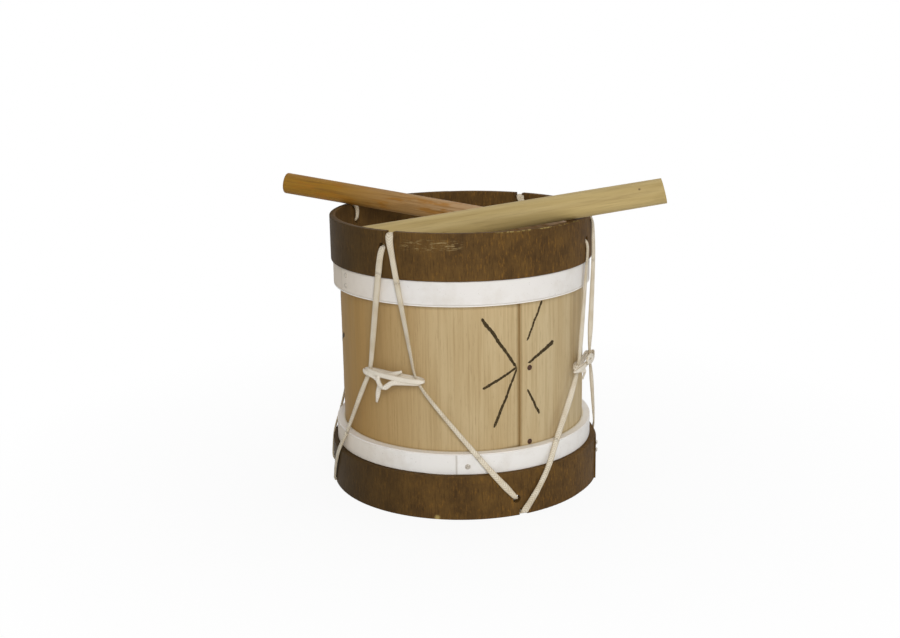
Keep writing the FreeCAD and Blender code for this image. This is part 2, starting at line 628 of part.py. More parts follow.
# A tie's route: along it from -1 at the left strand to 1 at the right one, plus turns past them;
# out from the strands in turns; up from the tie's line in tie diameters; bend in turns
TIE_SHARES = [
    (-0.62, 0, 0.85, -7.2, 1),
    (-0.42, 0, 1.05, -2.9, 2.8),
    (-0.10, 0, 1.3, 0.1, 2.8),
    (0.35, 0, 1.25, 0.0, 4),
    (1, 1.15, 1.0, 0.0, 1),
    (1, 1.15, -1.0, 0.0, 1),
    (0, 0, -0.7, 0.0, 8),
    (-1, -1.1, -1.0, 0.0, 1),
    (-1, -1.1, 1.0, 0.0, 1),
    (-0.50, 0, 1.35, 0.3, 2.8),
    (-0.22, 0, 2.3, -0.3, 1.75),
    (-0.08, 0, 2.15, -2.5, 1),
    (0.14, 0, 1.05, -2.5, 1),
    (0.17, 0, 0.24, -0.1, 1.75),
    (0.24, 0, 0.8, 2.2, 1.75),
    (0.42, 0, 1.0, 3.9, 1),
]


def tie(label, left, right, height):
    tie_diameter = value("Sizes.tie_diameter")
    half = math.radians(right - left) / 2 * strand_radius
    points = []
    for along, turns, out, up, _ in TIE_SHARES:
        distance = along * half + turns * tie_turn
        azimuth = (left + right) / 2 + math.degrees(distance / strand_radius)
        rise = value(height) + up * tie_diameter - distance / half * tilt
        points.append(polar(azimuth, strand_radius + out * tie_turn, rise))
    bends = [share[4] * tie_turn for share in TIE_SHARES[1:-1]]
    tube(label, points, bends, tie_diameter)


for name, left, right, height in TIES:
    tie(name, left, right, height)


# Sticks: each lies on the rim and on the hide, its outer end in the air
STICK_END_SHARES = {
    "stick_left": ((0.805, 0.002), (-1.357, 0.46)),
    "stick_right": ((-0.772, -0.405), (1.455, -0.52)),
}


def stick(label, place_label, inner_radius, outer_radius, length, rounded):
    """The plan direction comes from two places, as shares of the top hoop's radius."""
    body = turned_body(label, [("0", "0"), (inner_radius, "0"), (outer_radius, length), ("0", length)])
    round_edges(body, "Sizes.stick_rounding", rounded)
    hoop = value(TOP_HOOP_OUT)
    inner, outer = [Vector(x * hoop, y * hoop, 0) for x, y in STICK_END_SHARES[place_label]]
    along = (outer - inner).normalize()
    rim_inside = hoop - value("Sizes.top_hoop_wall")
    middle = inner.dot(along)
    crossing = -middle + math.sqrt(middle ** 2 - inner.dot(inner) + rim_inside ** 2)
    inner_r, outer_r, whole = value(inner_radius), value(outer_radius), value(length)
    gap = value("Sizes.stick_gap")
    slope = 0
    for _ in range(8):
        lean = math.cos(math.atan(slope))
        start = value(HEAD_TOP) + gap + inner_r * lean
        taper = inner_r + (outer_r - inner_r) * crossing / lean / whole
        slope = (value(RIM) + gap + taper / lean - start) / crossing
    direction = (along + Vector(0, 0, slope)).normalize()
    body.Placement = Placement(inner + Vector(0, 0, start), Rotation(Vector(0, 0, 1), direction))
    return body, direction


left_inner, left_outer = "Sizes.left_stick_inner_radius", "Sizes.left_stick_outer_radius"
stick("stick_left", "stick_left", left_inner, left_outer, "Sizes.left_stick_length",
      [(left_inner, "0"), (left_outer, "Sizes.left_stick_length")])

# The right stick's outer end is sawn a little askew, its lower side the longer
right_inner, right_outer = "Sizes.right_stick_inner_radius", "Sizes.right_stick_outer_radius"
right_body, direction = stick("stick_right_blank", "stick_right", right_inner, right_outer,
                              "Sizes.right_stick_length", [(right_inner, "0")])
slant = math.radians(value("Sizes.right_stick_saw_angle"))
upwards = (Vector(0, 0, 1) - direction * direction.z).normalize()
sawn_at = value("Sizes.right_stick_length") - value(right_outer) * math.tan(slant)
turn = Rotation(Vector(0, 0, 1), direction * math.cos(slant) + upwards * math.sin(slant))
saw = doc.addObject("Part::Box", "stick_right_saw")
saw.setExpression("Length", right_outer + " * 4")
saw.setExpression("Width", right_outer + " * 4")
saw.setExpression("Height", right_outer + " * 2")
half = turn.multVec(Vector(1, 1, 0)) * (value(right_outer) * 2)
saw.Placement = Placement(right_body.Placement.Base + direction * sawn_at - half, turn)
cut_away("stick_right", right_body, [saw])

NODES = ["shell", "shell_seam_nails", "top_head", "bottom_head", "top_flesh_hoop",
         "top_flesh_hoop_nails", "bottom_flesh_hoop", "bottom_flesh_hoop_nails",
         "top_counter_hoop", "top_counter_hoop_nails", "bottom_counter_hoop",
         "bottom_counter_hoop_nails", "lacing_cord", "lacing_knot", "tie_front_left", "tie_right",
         "tie_back_right", "tie_back_left", "stick_left", "stick_right"]

doc.recompute()
for item in doc.Objects:
    if {"Invalid", "Error"} & set(item.State):
        raise RuntimeError("%s failed: %s" % (item.Label, item.State))
pieces = {label: doc.getObjectsByLabel(label)[0] for label in NODES}
for label, piece in pieces.items():
    if piece.Shape.isNull() or not piece.Shape.isValid():
        raise RuntimeError(label + " has no valid shape")
os.makedirs("parts", exist_ok=True)
for label, piece in pieces.items():
    piece.Shape.exportStep("parts/%s.step" % label)
    box = piece.Shape.BoundBox
    print("%-26s solids %d volume %9.0f z %.1f to %.1f" % (
        label, len(piece.Shape.Solids), piece.Shape.Volume, box.ZMin, box.ZMax))
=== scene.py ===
"""A small lace-tensioned bombo drum with two sticks across its rim, dressed and lit for a render.

Metres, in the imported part's own frame: the drum stands on z = 0 with its axis at the origin and its
photographed side towards -Y. An azimuth is in degrees from the front towards +X.
"""

from itertools import groupby
from math import cos, degrees, pi, radians, sin

import bmesh
import bpy
from mathutils import Matrix, Vector, noise
from mathutils.bvhtree import BVHTree


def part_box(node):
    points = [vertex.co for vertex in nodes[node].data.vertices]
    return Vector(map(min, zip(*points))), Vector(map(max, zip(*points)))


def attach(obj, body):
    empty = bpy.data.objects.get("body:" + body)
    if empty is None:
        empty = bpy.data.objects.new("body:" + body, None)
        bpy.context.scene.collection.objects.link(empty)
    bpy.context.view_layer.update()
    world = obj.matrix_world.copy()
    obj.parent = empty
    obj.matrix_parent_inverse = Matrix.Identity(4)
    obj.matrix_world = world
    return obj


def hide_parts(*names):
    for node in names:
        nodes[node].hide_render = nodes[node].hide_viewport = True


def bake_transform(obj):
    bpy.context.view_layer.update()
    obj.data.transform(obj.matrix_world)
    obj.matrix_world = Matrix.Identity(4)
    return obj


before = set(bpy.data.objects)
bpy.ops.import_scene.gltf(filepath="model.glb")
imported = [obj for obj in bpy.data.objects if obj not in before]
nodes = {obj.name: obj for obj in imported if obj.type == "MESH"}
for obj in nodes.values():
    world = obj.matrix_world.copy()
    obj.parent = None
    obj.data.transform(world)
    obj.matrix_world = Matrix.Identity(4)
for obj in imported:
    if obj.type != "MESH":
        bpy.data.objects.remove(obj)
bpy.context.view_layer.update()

MM = 0.001
TOP_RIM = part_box("top_counter_hoop")[1].z
TOP_HOOP_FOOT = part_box("top_counter_hoop")[0].z
TOP_BAND_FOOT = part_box("top_flesh_hoop")[0].z
LOW_BAND_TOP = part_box("bottom_flesh_hoop")[1].z
LOW_HOOP_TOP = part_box("bottom_counter_hoop")[1].z


# Camera and light

# The camera that has the photograph's perspective, its lens and sensor in mm
EYE = Vector((0.0, -0.934, 0.361))
PITCH = radians(14.34)
YAW = radians(-0.57)
ROLL = radians(-0.98)
LENS = 50.28
SENSOR = 36.0


def photo_camera():
    """The camera at the photograph's viewing angle."""
    forward = Vector((sin(YAW) * cos(PITCH), cos(YAW) * cos(PITCH), -sin(PITCH)))
    level = forward.cross(Vector((0, 0, 1))).normalized()
    upright = level.cross(forward)
    across = level * cos(ROLL) + upright * sin(ROLL)
    up = upright * cos(ROLL) - level * sin(ROLL)
    lens = bpy.data.cameras.new("photo_camera")
    lens.lens = LENS
    lens.sensor_width = SENSOR
    camera = bpy.data.objects.new("photo_camera", lens)
    bpy.context.scene.collection.objects.link(camera)
    camera.matrix_world = Matrix.Translation(EYE) @ Matrix((across, up, -forward)).transposed().to_4x4()
    bpy.context.scene.camera = camera


def soft_box(name, place, aim, size, watts):
    """A square studio lamp at a place, turned to its aim."""
    lamp = bpy.data.lights.new(name, "AREA")
    lamp.size = size
    lamp.energy = watts
    carrier = bpy.data.objects.new(name, lamp)
    bpy.context.scene.collection.objects.link(carrier)
    carrier.location = place
    carrier.rotation_mode = "QUATERNION"
    carrier.rotation_quaternion = (Vector(aim) - Vector(place)).to_track_quat("-Z", "Y")


# Materials

def linear(code):
    """An sRGB hex colour as the linear colour that Blender's sockets take."""
    channels = [int(code[start:start + 2], 16) / 255 for start in (1, 3, 5)]
    return [c / 12.92 if c <= 0.04045 else ((c + 0.055) / 1.055) ** 2.4 for c in channels] + [1.0]


def add(tree, kind, sockets=None, out=0, **settings):
    """Adds a node and gives one of its outputs; a socket is fed a value, a hex colour or an output."""
    node = tree.nodes.new("ShaderNode" + kind)
    for name, setting in settings.items():
        setattr(node, name, setting)
    for name, fed in (sockets or {}).items():
        if isinstance(fed, bpy.types.NodeSocket):
            tree.links.new(fed, node.inputs[name])
        else:
            node.inputs[name].default_value = linear(fed) if isinstance(fed, str) else fed
    return node.outputs[out] if node.outputs else None


def material(name, build):
    """A material: build gets its tree and the place on the piece in mm, and gives shader sockets."""
    made = bpy.data.materials.new(name)
    made.use_nodes = True
    tree = made.node_tree
    tree.nodes.clear()
    metres = add(tree, "TexCoord", out="Object")
    place = add(tree, "VectorMath", {0: metres, "Scale": 1 / MM}, operation="SCALE")
    add(tree, "OutputMaterial", {"Surface": add(tree, "BsdfPrincipled", build(tree, place))})
    return made


def off(tree, value, middle):
    """How far a value is from a middle one."""
    apart = add(tree, "Math", {0: value, 1: middle}, operation="SUBTRACT")
    return add(tree, "Math", {0: apart}, operation="ABSOLUTE")


def from_axis(tree, place):
    """How far a place is from the drum's axis."""
    level = add(tree, "VectorMath", {0: place, 1: (1, 1, 0)}, operation="MULTIPLY")
    return add(tree, "VectorMath", {0: level}, "Value", operation="LENGTH")


# An angle round the drum is, in the materials, its azimuth less 90 degrees
# The shell's lap, and half and middle of the height that shows between the bands, in mm
SEAM = radians(26 - 90)
SHELL_RADIUS = 92.0
SHELL_HALF = (TOP_BAND_FOOT - LOW_BAND_TOP) / 2 / MM
SHELL_MIDDLE = (TOP_BAND_FOOT + LOW_BAND_TOP) / 2 / MM


def birch_ply(tree, place):
    """Bare birch ply mellowed to honey, darker and browner at the left, partly its own tone and partly
    painted shade: soft upright grain and short brown pores.
    """
    apart = add(tree, "SeparateXYZ", {0: place}).node.outputs
    # Darker and browner towards the left: partly the ply's own tone, partly painted shade where the light
    # falls off
    tone = add(tree, "MapRange", {"Value": apart["X"], "From Min": -84.0, "From Max": -8.0})
    colour = add(tree, "Mix", {0: tone, 6: "#a98348", 7: "#c5af86"}, 2, data_type="RGBA")
    paler = add(tree, "MapRange", {"Value": apart["X"], "From Min": 30.0, "From Max": 80.0, "To Max": 0.6})
    colour = add(tree, "Mix", {0: paler, 6: colour, 7: "#cab893"}, 2, data_type="RGBA")
    # Clouds where the sheet was sanded thinner, about 18 mm wide and running up the drum
    tall = add(tree, "Mapping", {"Vector": place, "Scale": (0.055, 0.055, 0.006)})
    cloud = add(tree, "TexNoise", {"Vector": tall, "Scale": 1.0, "Detail": 3.0})
    cloudy = add(tree, "MapRange", {"Value": cloud, "From Min": 0.42, "From Max": 0.7, "To Max": 0.6})
    colour = add(tree, "Mix", {0: cloudy, 6: colour, 7: "#ac9062"}, 2, data_type="RGBA")
    # Growth rings cut lengthwise: streaks 1.6 mm wide
    upright = add(tree, "Mapping", {"Vector": place, "Scale": (0.6, 0.6, 0.016)})
    ring = add(tree, "TexNoise", {"Vector": upright, "Scale": 1.0, "Detail": 4.0, "Roughness": 0.6})
    ringed = add(tree, "MapRange", {"Value": ring, "From Min": 0.46, "From Max": 0.72, "To Max": 0.5})
    colour = add(tree, "Mix", {0: ringed, 6: colour, 7: "#9c8052"}, 2, data_type="RGBA")
    # Pores, drawn about 0.5 mm wide, several times their real width, so that they show
    short = add(tree, "Mapping", {"Vector": place, "Scale": (1.0, 1.0, 0.1)})
    pore = add(tree, "TexNoise", {"Vector": short, "Scale": 1.0, "Detail": 2.0, "Roughness": 0.7})
    pored = add(tree, "MapRange", {"Value": pore, "From Min": 0.58, "From Max": 0.76, "To Max": 0.32})
    colour = add(tree, "Mix", {0: pored, 6: colour, 7: "#81653c"}, 2, data_type="RGBA")
    # Glue along the lap, widened by painted shade beside the lap's step, and painted shade where the bands
    # touch
    angle = add(tree, "Math", {0: apart["Y"], 1: apart["X"]}, operation="ARCTAN2")
    glue_and_lap_shade = add(tree, "MapRange", {"Value": off(tree, angle, SEAM), "From Min": 0.3 / SHELL_RADIUS,
                                  "From Max": 2.4 / SHELL_RADIUS, "To Min": 0.6, "To Max": 0.0})
    colour = add(tree, "Mix", {0: glue_and_lap_shade, 6: colour, 7: "#83632f"}, 2, data_type="RGBA")
    # Painted shade on the shell where the bands meet it
    from_middle = off(tree, apart["Z"], SHELL_MIDDLE)
    band_contact_shade = add(tree, "MapRange", {"Value": from_middle, "From Min": SHELL_HALF - 2.2,
                                  "From Max": SHELL_HALF - 0.2, "To Max": 0.6})
    colour = add(tree, "Mix", {0: band_contact_shade, 6: colour, 7: "#6f5733"}, 2, data_type="RGBA")
    return {"Base Color": colour,
            "Roughness": add(tree, "MapRange", {"Value": ring, "To Min": 0.52, "To Max": 0.72}),
            "Specular IOR Level": 0.12,
            "Normal": add(tree, "Bump", {"Height": ring, "Distance": 0.12 * MM, "Strength": 0.35})}


# Middle angle and half the width of the pale scratches on the top hoop, and their height
SCRATCHED = (radians(-12 - 90), radians(14))
SCRATCH_HEIGHT = 198.0
# The same of the chips along its rim, and the rim's outer and inner radius
CHIPPED = (radians(38 - 90), radians(26))
RIM_RADIUS = 98.2
INNER_RADIUS = 95.0
# A chip at the foot of the bottom hoop
LOW_CHIP = Vector((101.6 * sin(radians(-11.2)), -101.6 * cos(radians(-11.2)), 1.5))


def stained_ply(tree, place):
    """Ply hoops rubbed with dark stain: cloudy brown, black pores, worn orange flecks, scratches, and
    painted shade at the left.
    """
    cloud = add(tree, "TexNoise", {"Vector": place, "Scale": 0.055, "Detail": 4.0, "Roughness": 0.62})
    clouded = add(tree, "MapRange", {"Value": cloud, "From Min": 0.35, "From Max": 0.66})
    colour = add(tree, "Mix", {0: clouded, 6: "#513b20", 7: "#684d28"}, 2, data_type="RGBA")
    # Painted shade: the outside darker towards the left, where the light falls off
    apart = add(tree, "SeparateXYZ", {0: place}).node.outputs
    radius = from_axis(tree, place)
    outside = add(tree, "MapRange", {"Value": radius, "From Min": INNER_RADIUS,
                                     "From Max": INNER_RADIUS + 1, "To Min": 0.15, "To Max": 0.85})
    dark = add(tree, "MapRange", {"Value": apart["X"], "From Min": -88.0, "From Max": -30.0,
                                  "To Min": outside, "To Max": 0.0})
    colour = add(tree, "Mix", {0: dark, 6: colour, 7: "#3d2f19"}, 2, data_type="RGBA")
    # Pores that drank the stain: about 1 mm by 8 mm
    upright = add(tree, "Mapping", {"Vector": place, "Scale": (0.9, 0.9, 0.12)})
    pore = add(tree, "TexNoise", {"Vector": upright, "Scale": 1.0, "Detail": 4.0, "Roughness": 0.68})
    pored = add(tree, "MapRange", {"Value": pore, "From Min": 0.5, "From Max": 0.72, "To Max": 0.6})
    colour = add(tree, "Mix", {0: pored, 6: colour, 7: "#2f2215"}, 2, data_type="RGBA")
    # Specks where the stain wore off to orange
    speck = add(tree, "Mapping", {"Vector": place, "Scale": (0.6, 0.6, 0.16)})
    fleck = add(tree, "TexNoise", {"Vector": speck, "Scale": 1.0, "Detail": 3.0, "Roughness": 0.75})
    worn = add(tree, "MapRange", {"Value": apart["X"], "From Min": -70.0, "From Max": 30.0,
                                  "To Min": 0.15, "To Max": 0.6})
    flecked = add(tree, "MapRange", {"Value": fleck, "From Min": 0.54, "From Max": 0.72, "To Max": worn})
    colour = add(tree, "Mix", {0: flecked, 6: colour, 7: "#94692c"}, 2, data_type="RGBA")
    # Scratches along the top hoop's front, 0.7 mm wide and down to pale wood
    angle = add(tree, "Math", {0: apart["Y"], 1: apart["X"]}, operation="ARCTAN2")
    level = add(tree, "Mapping", {"Vector": place, "Scale": (0.16, 0.16, 1.1)})
    scratch = add(tree, "TexNoise", {"Vector": level, "Scale": 1.0, "Detail": 3.0, "Roughness": 0.7})
    cut = add(tree, "MapRange", {"Value": scratch, "From Min": 0.54, "From Max": 0.62})
    aside = off(tree, angle, SCRATCHED[0])
    within = add(tree, "MapRange", {"Value": aside, "From Min": SCRATCHED[1] * 0.6,
                                    "From Max": SCRATCHED[1], "To Min": 1.0, "To Max": 0.0})
    risen = off(tree, apart["Z"], SCRATCH_HEIGHT)
    beside = add(tree, "MapRange", {"Value": risen, "From Min": 1.6, "From Max": 4.6,
                                    "To Min": 0.6, "To Max": 0.0})
    area = add(tree, "Math", {0: within, 1: beside}, operation="MULTIPLY")
    scratched = add(tree, "Math", {0: area, 1: cut}, operation="MULTIPLY")
    colour = add(tree, "Mix", {0: scratched, 6: colour, 7: "#b39b6b"}, 2, data_type="RGBA")
    # Chips along the rim over the seam, and one at the foot of the low hoop
    past = off(tree, angle, CHIPPED[0])
    along = add(tree, "MapRange", {"Value": past, "From Min": CHIPPED[1] * 0.7,
                                   "From Max": CHIPPED[1], "To Min": 1.0, "To Max": 0.0})
    lip = add(tree, "MapRange", {"Value": apart["Z"], "From Min": TOP_RIM / MM - 1.0,
                                 "From Max": TOP_RIM / MM - 0.3, "To Max": 0.8})
    outer = add(tree, "MapRange", {"Value": radius, "From Min": RIM_RADIUS - 1.4,
                                   "From Max": RIM_RADIUS - 0.7})
    edge = add(tree, "Math", {0: lip, 1: outer}, operation="MULTIPLY")
    rim = add(tree, "Math", {0: along, 1: edge}, operation="MULTIPLY")
    broken = add(tree, "TexNoise", {"Vector": place, "Scale": 0.4, "Detail": 3.0, "Roughness": 0.7})
    gone = add(tree, "MapRange", {"Value": broken, "From Min": 0.5, "From Max": 0.56})
    chipped = add(tree, "Math", {0: rim, 1: gone}, operation="MULTIPLY")
    away = add(tree, "VectorMath", {0: place, 1: LOW_CHIP}, "Value", operation="DISTANCE")
    foot = add(tree, "MapRange", {"Value": away, "From Min": 0.9, "From Max": 2.6,
                                  "To Min": 1.0, "To Max": 0.0})
    bare = add(tree, "Math", {0: chipped, 1: foot}, operation="MAXIMUM")
    colour = add(tree, "Mix", {0: bare, 6: colour, 7: "#a8935a"}, 2, data_type="RGBA")
    return {"Base Color": colour,
            "Roughness": add(tree, "MapRange", {"Value": pore, "To Min": 0.5, "To Max": 0.7}),
            "Specular IOR Level": 0.06,
            "Normal": add(tree, "Bump", {"Height": pore, "Distance": 0.2 * MM, "Strength": 0.5})}


# Where the white strips end on themselves
TOP_LAP = radians(-64.5 - 90)
LOW_LAP = radians(-3.2 - 90)
BAND_RADIUS = 97.5


def white_emulsion(tree, place):
    """White emulsion brushed on a bent strip: matt, nearly even, with small dark specks and marks, and
    painted light and shade.
    """
    grime = add(tree, "TexNoise", {"Vector": place, "Scale": 0.06, "Detail": 4.0, "Roughness": 0.6})
    grimy = add(tree, "MapRange", {"Value": grime, "From Min": 0.5, "From Max": 0.75, "To Max": 0.5})
    apart = add(tree, "SeparateXYZ", {0: place}).node.outputs
    # The lower strip is painted lighter than the upper one: painted light, because the lamp reaches it
    # less
    upper = add(tree, "Math", {0: apart["Z"], 1: SHELL_MIDDLE}, operation="GREATER_THAN")
    white = add(tree, "Mix", {0: upper, 6: "#efece7", 7: "#e9e5e0"}, 2, data_type="RGBA")
    colour = add(tree, "Mix", {0: grimy, 6: white, 7: "#d6cec3"}, 2, data_type="RGBA")
    # Painted shade: darker and warmer towards the left, where the light falls off
    left_shade = add(tree, "MapRange", {"Value": apart["X"], "From Min": -95.0, "From Max": -40.0,
                                  "To Min": 0.8, "To Max": 0.0})
    colour = add(tree, "Mix", {0: left_shade, 6: colour, 7: "#e2d3bd"}, 2, data_type="RGBA")
    speck = add(tree, "TexNoise", {"Vector": place, "Scale": 0.8, "Detail": 2.0, "Roughness": 0.7})
    specked = add(tree, "MapRange", {"Value": speck, "From Min": 0.69, "From Max": 0.74, "To Max": 0.55})
    colour = add(tree, "Mix", {0: specked, 6: colour, 7: "#8f8475"}, 2, data_type="RGBA")
    # Each strip's lap, a dirty line: the top one's at the left and the bottom one's in front
    angle = add(tree, "Math", {0: apart["Y"], 1: apart["X"]}, operation="ARCTAN2")
    lap = add(tree, "MapRange", {"Value": upper, "To Min": LOW_LAP, "To Max": TOP_LAP})
    line = add(tree, "MapRange", {"Value": off(tree, angle, lap), "From Min": 0.4 / BAND_RADIUS,
                                  "From Max": 1.1 / BAND_RADIUS, "To Min": 0.35, "To Max": 0.0})
    colour = add(tree, "Mix", {0: line, 6: colour, 7: "#a39786"}, 2, data_type="RGBA")
    level = add(tree, "Mapping", {"Vector": place, "Scale": (0.017, 0.017, 0.9)})
    brush = add(tree, "TexNoise", {"Vector": level, "Scale": 1.0, "Detail": 2.0})
    return {"Base Color": colour,
            "Roughness": add(tree, "MapRange", {"Value": grime, "To Min": 0.55, "To Max": 0.75}),
            "Specular IOR Level": 0.25,
            "Normal": add(tree, "Bump", {"Height": brush, "Distance": 0.06 * MM, "Strength": 0.3})}


# Where the hide turns out under the white strip
HIDE_TURN = 92.6


def rawhide(tree, place):
    """Scraped goat rawhide: cream, cloudy, with hair pores of 1 mm, a little glossier than wood."""
    cloud = add(tree, "TexNoise", {"Vector": place, "Scale": 0.04, "Detail": 4.0, "Roughness": 0.6})
    clouded = add(tree, "MapRange", {"Value": cloud, "From Min": 0.35, "From Max": 0.7})
    colour = add(tree, "Mix", {0: clouded, 6: "#e6dfca", 7: "#d3c5a2"}, 2, data_type="RGBA")
    pore = add(tree, "TexNoise", {"Vector": place, "Scale": 1.0, "Detail": 2.0, "Roughness": 0.6})
    pored = add(tree, "MapRange", {"Value": pore, "From Min": 0.64, "From Max": 0.78, "To Max": 0.35})
    colour = add(tree, "Mix", {0: pored, 6: colour, 7: "#9c8254"}, 2, data_type="RGBA")
    # Its turned-out edge took some of the strip's paint
    painted = add(tree, "MapRange", {"Value": from_axis(tree, place), "From Min": HIDE_TURN,
                                     "From Max": HIDE_TURN + 0.8, "To Max": 0.95})
    colour = add(tree, "Mix", {0: painted, 6: colour, 7: "#f1ece5"}, 2, data_type="RGBA")
    return {"Base Color": colour,
            "Roughness": add(tree, "MapRange", {"Value": cloud, "To Min": 0.4, "To Max": 0.55}),
            "Normal": add(tree, "Bump", {"Height": cloud, "Distance": 0.25 * MM, "Strength": 0.3})}


def rusty_iron(tree, place):
    """Small iron nails gone dark brown, rust over black forged metal."""
    rust = add(tree, "TexNoise", {"Vector": place, "Scale": 1.4, "Detail": 3.0, "Roughness": 0.6})
    rusted = add(tree, "MapRange", {"Value": rust, "From Min": 0.35, "From Max": 0.65})
    return {"Base Color": add(tree, "Mix", {0: rusted, 6: "#553019", 7: "#2b1e14"}, 2, data_type="RGBA"),
            "Metallic": 0.3,
            "Roughness": add(tree, "MapRange", {"Value": rust, "To Min": 0.5, "To Max": 0.8}),
            "Normal": add(tree, "Bump", {"Height": rust, "Distance": 0.1 * MM, "Strength": 0.5})}


def zinc_nail(tree, place):
    """Zinc-plated nail heads, dulled: pale grey metal with brown tarnish at 1.5 mm."""
    dull = add(tree, "TexNoise", {"Vector": place, "Scale": 1.6, "Detail": 3.0, "Roughness": 0.6})
    dulled = add(tree, "MapRange", {"Value": dull, "From Min": 0.4, "From Max": 0.7})
    return {"Base Color": add(tree, "Mix", {0: dulled, 6: "#cdc8c0", 7: "#8f8778"}, 2, data_type="RGBA"),
            "Metallic": 0.7,
            "Roughness": add(tree, "MapRange", {"Value": dull, "To Min": 0.35, "To Max": 0.55}),
            "Normal": add(tree, "Bump", {"Height": dull, "Distance": 0.05 * MM, "Strength": 0.4})}


def painted_nail(tree, place):
    """Nails painted over with their strip: grey-white, chipped to brown on the crown."""
    chip = add(tree, "TexNoise", {"Vector": place, "Scale": 1.0, "Detail": 3.0, "Roughness": 0.6})
    chipped = add(tree, "MapRange", {"Value": chip, "From Min": 0.5, "From Max": 0.6})
    return {"Base Color": add(tree, "Mix", {0: chipped, 6: "#c6beb1", 7: "#978a76"}, 2, data_type="RGBA"),
            "Roughness": add(tree, "MapRange", {"Value": chip, "To Min": 0.5, "To Max": 0.65}),
            "Normal": add(tree, "Bump", {"Height": chip, "Distance": 0.08 * MM, "Strength": 0.4})}


# The herringbone's repeat in mm, four times the real one so that it shows
RIB = 1.9


def woven_cotton(tree, place):
    """Flat woven cotton lace, handled: matt, with a herringbone, grubby in places, and with painted shade
    along its edges.
    """
    run = add(tree, "Attribute", out="Vector", attribute_name="lace")
    run = add(tree, "SeparateXYZ", {0: run}).node.outputs
    off_middle = add(tree, "Math", {0: run["Y"]}, operation="ABSOLUTE")
    slant = add(tree, "Math", {0: run["X"], 1: off_middle}, operation="ADD")
    turn = add(tree, "Math", {0: slant, 1: 2 * pi / RIB}, operation="MULTIPLY")
    rib = add(tree, "Math", {0: turn}, operation="SINE")
    grime = add(tree, "TexNoise", {"Vector": place, "Scale": 0.11, "Detail": 3.0, "Roughness": 0.6})
    grimy = add(tree, "MapRange", {"Value": grime, "From Min": 0.42, "From Max": 0.7, "To Max": 0.7})
    colour = add(tree, "Mix", {0: grimy, 6: "#eae0cc", 7: "#d0bfa2"}, 2, data_type="RGBA")
    # The ties are whiter than the long lace: partly handled less, partly painted light against the shade
    # between their windings
    colour = add(tree, "Mix", {0: run["Z"], 6: colour, 7: "#fbf3e4"}, 2, data_type="RGBA")
    between_ribs = add(tree, "MapRange", {"Value": rib, "From Min": -1.0, "From Max": 0.1,
                                          "To Min": 0.55, "To Max": 0.0})
    colour = add(tree, "Mix", {0: between_ribs, 6: colour, 7: "#a9956f"}, 2, data_type="RGBA")
    # Painted shade along the edges, darker than the middle
    edge_shade = add(tree, "MapRange", {"Value": off_middle, "From Min": 1.3, "From Max": 2.3,
                                      "To Max": 0.45})
    colour = add(tree, "Mix", {0: edge_shade, 6: colour, 7: "#a18d69"}, 2, data_type="RGBA")
    return {"Base Color": colour,
            "Roughness": 0.8,
            "Specular IOR Level": 0.2,
            "Sheen Weight": 0.1,
            "Normal": add(tree, "Bump", {"Height": rib, "Distance": 0.2 * MM, "Strength": 0.5})}


# Each stick's direction, from its left end to its right one
LEFT_STICK = Vector((79.05, 0.2, 188.9)) - Vector((-133.3, 45.2, 222.1))
RIGHT_STICK = Vector((142.9, -51.1, 226.3)) - Vector((-75.8, -39.8, 191.3))


def orange_beech(tree, place):
    """A planed beech stick, stained orange-brown by hands towards its outer end, with darker patches."""
    axis, angle = LEFT_STICK.rotation_difference(Vector((1, 0, 0))).to_axis_angle()
    level = add(tree, "VectorRotate", {"Vector": place, "Axis": axis, "Angle": angle})
    along = add(tree, "SeparateXYZ", {0: level}, "X")
    handled = add(tree, "MapRange", {"Value": along, "From Min": -135.0, "From Max": 20.0})
    colour = add(tree, "Mix", {0: handled, 6: "#986e22", 7: "#bf9f7c"}, 2, data_type="RGBA")
    patch = add(tree, "Mapping", {"Vector": level, "Scale": (0.06, 0.2, 0.2)})
    stain = add(tree, "TexNoise", {"Vector": patch, "Scale": 1.0, "Detail": 3.0, "Roughness": 0.6})
    stained = add(tree, "MapRange", {"Value": stain, "From Min": 0.5, "From Max": 0.65, "To Max": 0.7})
    colour = add(tree, "Mix", {0: stained, 6: colour, 7: "#a06a1c"}, 2, data_type="RGBA")
    grain = add(tree, "Mapping", {"Vector": level, "Scale": (0.03, 0.8, 0.8)})
    streak = add(tree, "TexNoise", {"Vector": grain, "Scale": 1.0, "Detail": 4.0, "Roughness": 0.62})
    streaked = add(tree, "MapRange", {"Value": streak, "From Min": 0.45, "From Max": 0.7, "To Max": 0.65})
    colour = add(tree, "Mix", {0: streaked, 6: colour, 7: "#6d4c1e"}, 2, data_type="RGBA")
    return {"Base Color": colour,
            "Roughness": add(tree, "MapRange", {"Value": streak, "To Min": 0.45, "To Max": 0.65}),
            "Specular IOR Level": 0.15,
            "Normal": add(tree, "Bump", {"Height": streak, "Distance": 0.15 * MM, "Strength": 0.35})}


# A pin knot near the right stick's outer end
PIN_KNOT = Vector((125.5, -57.7, 228.7))


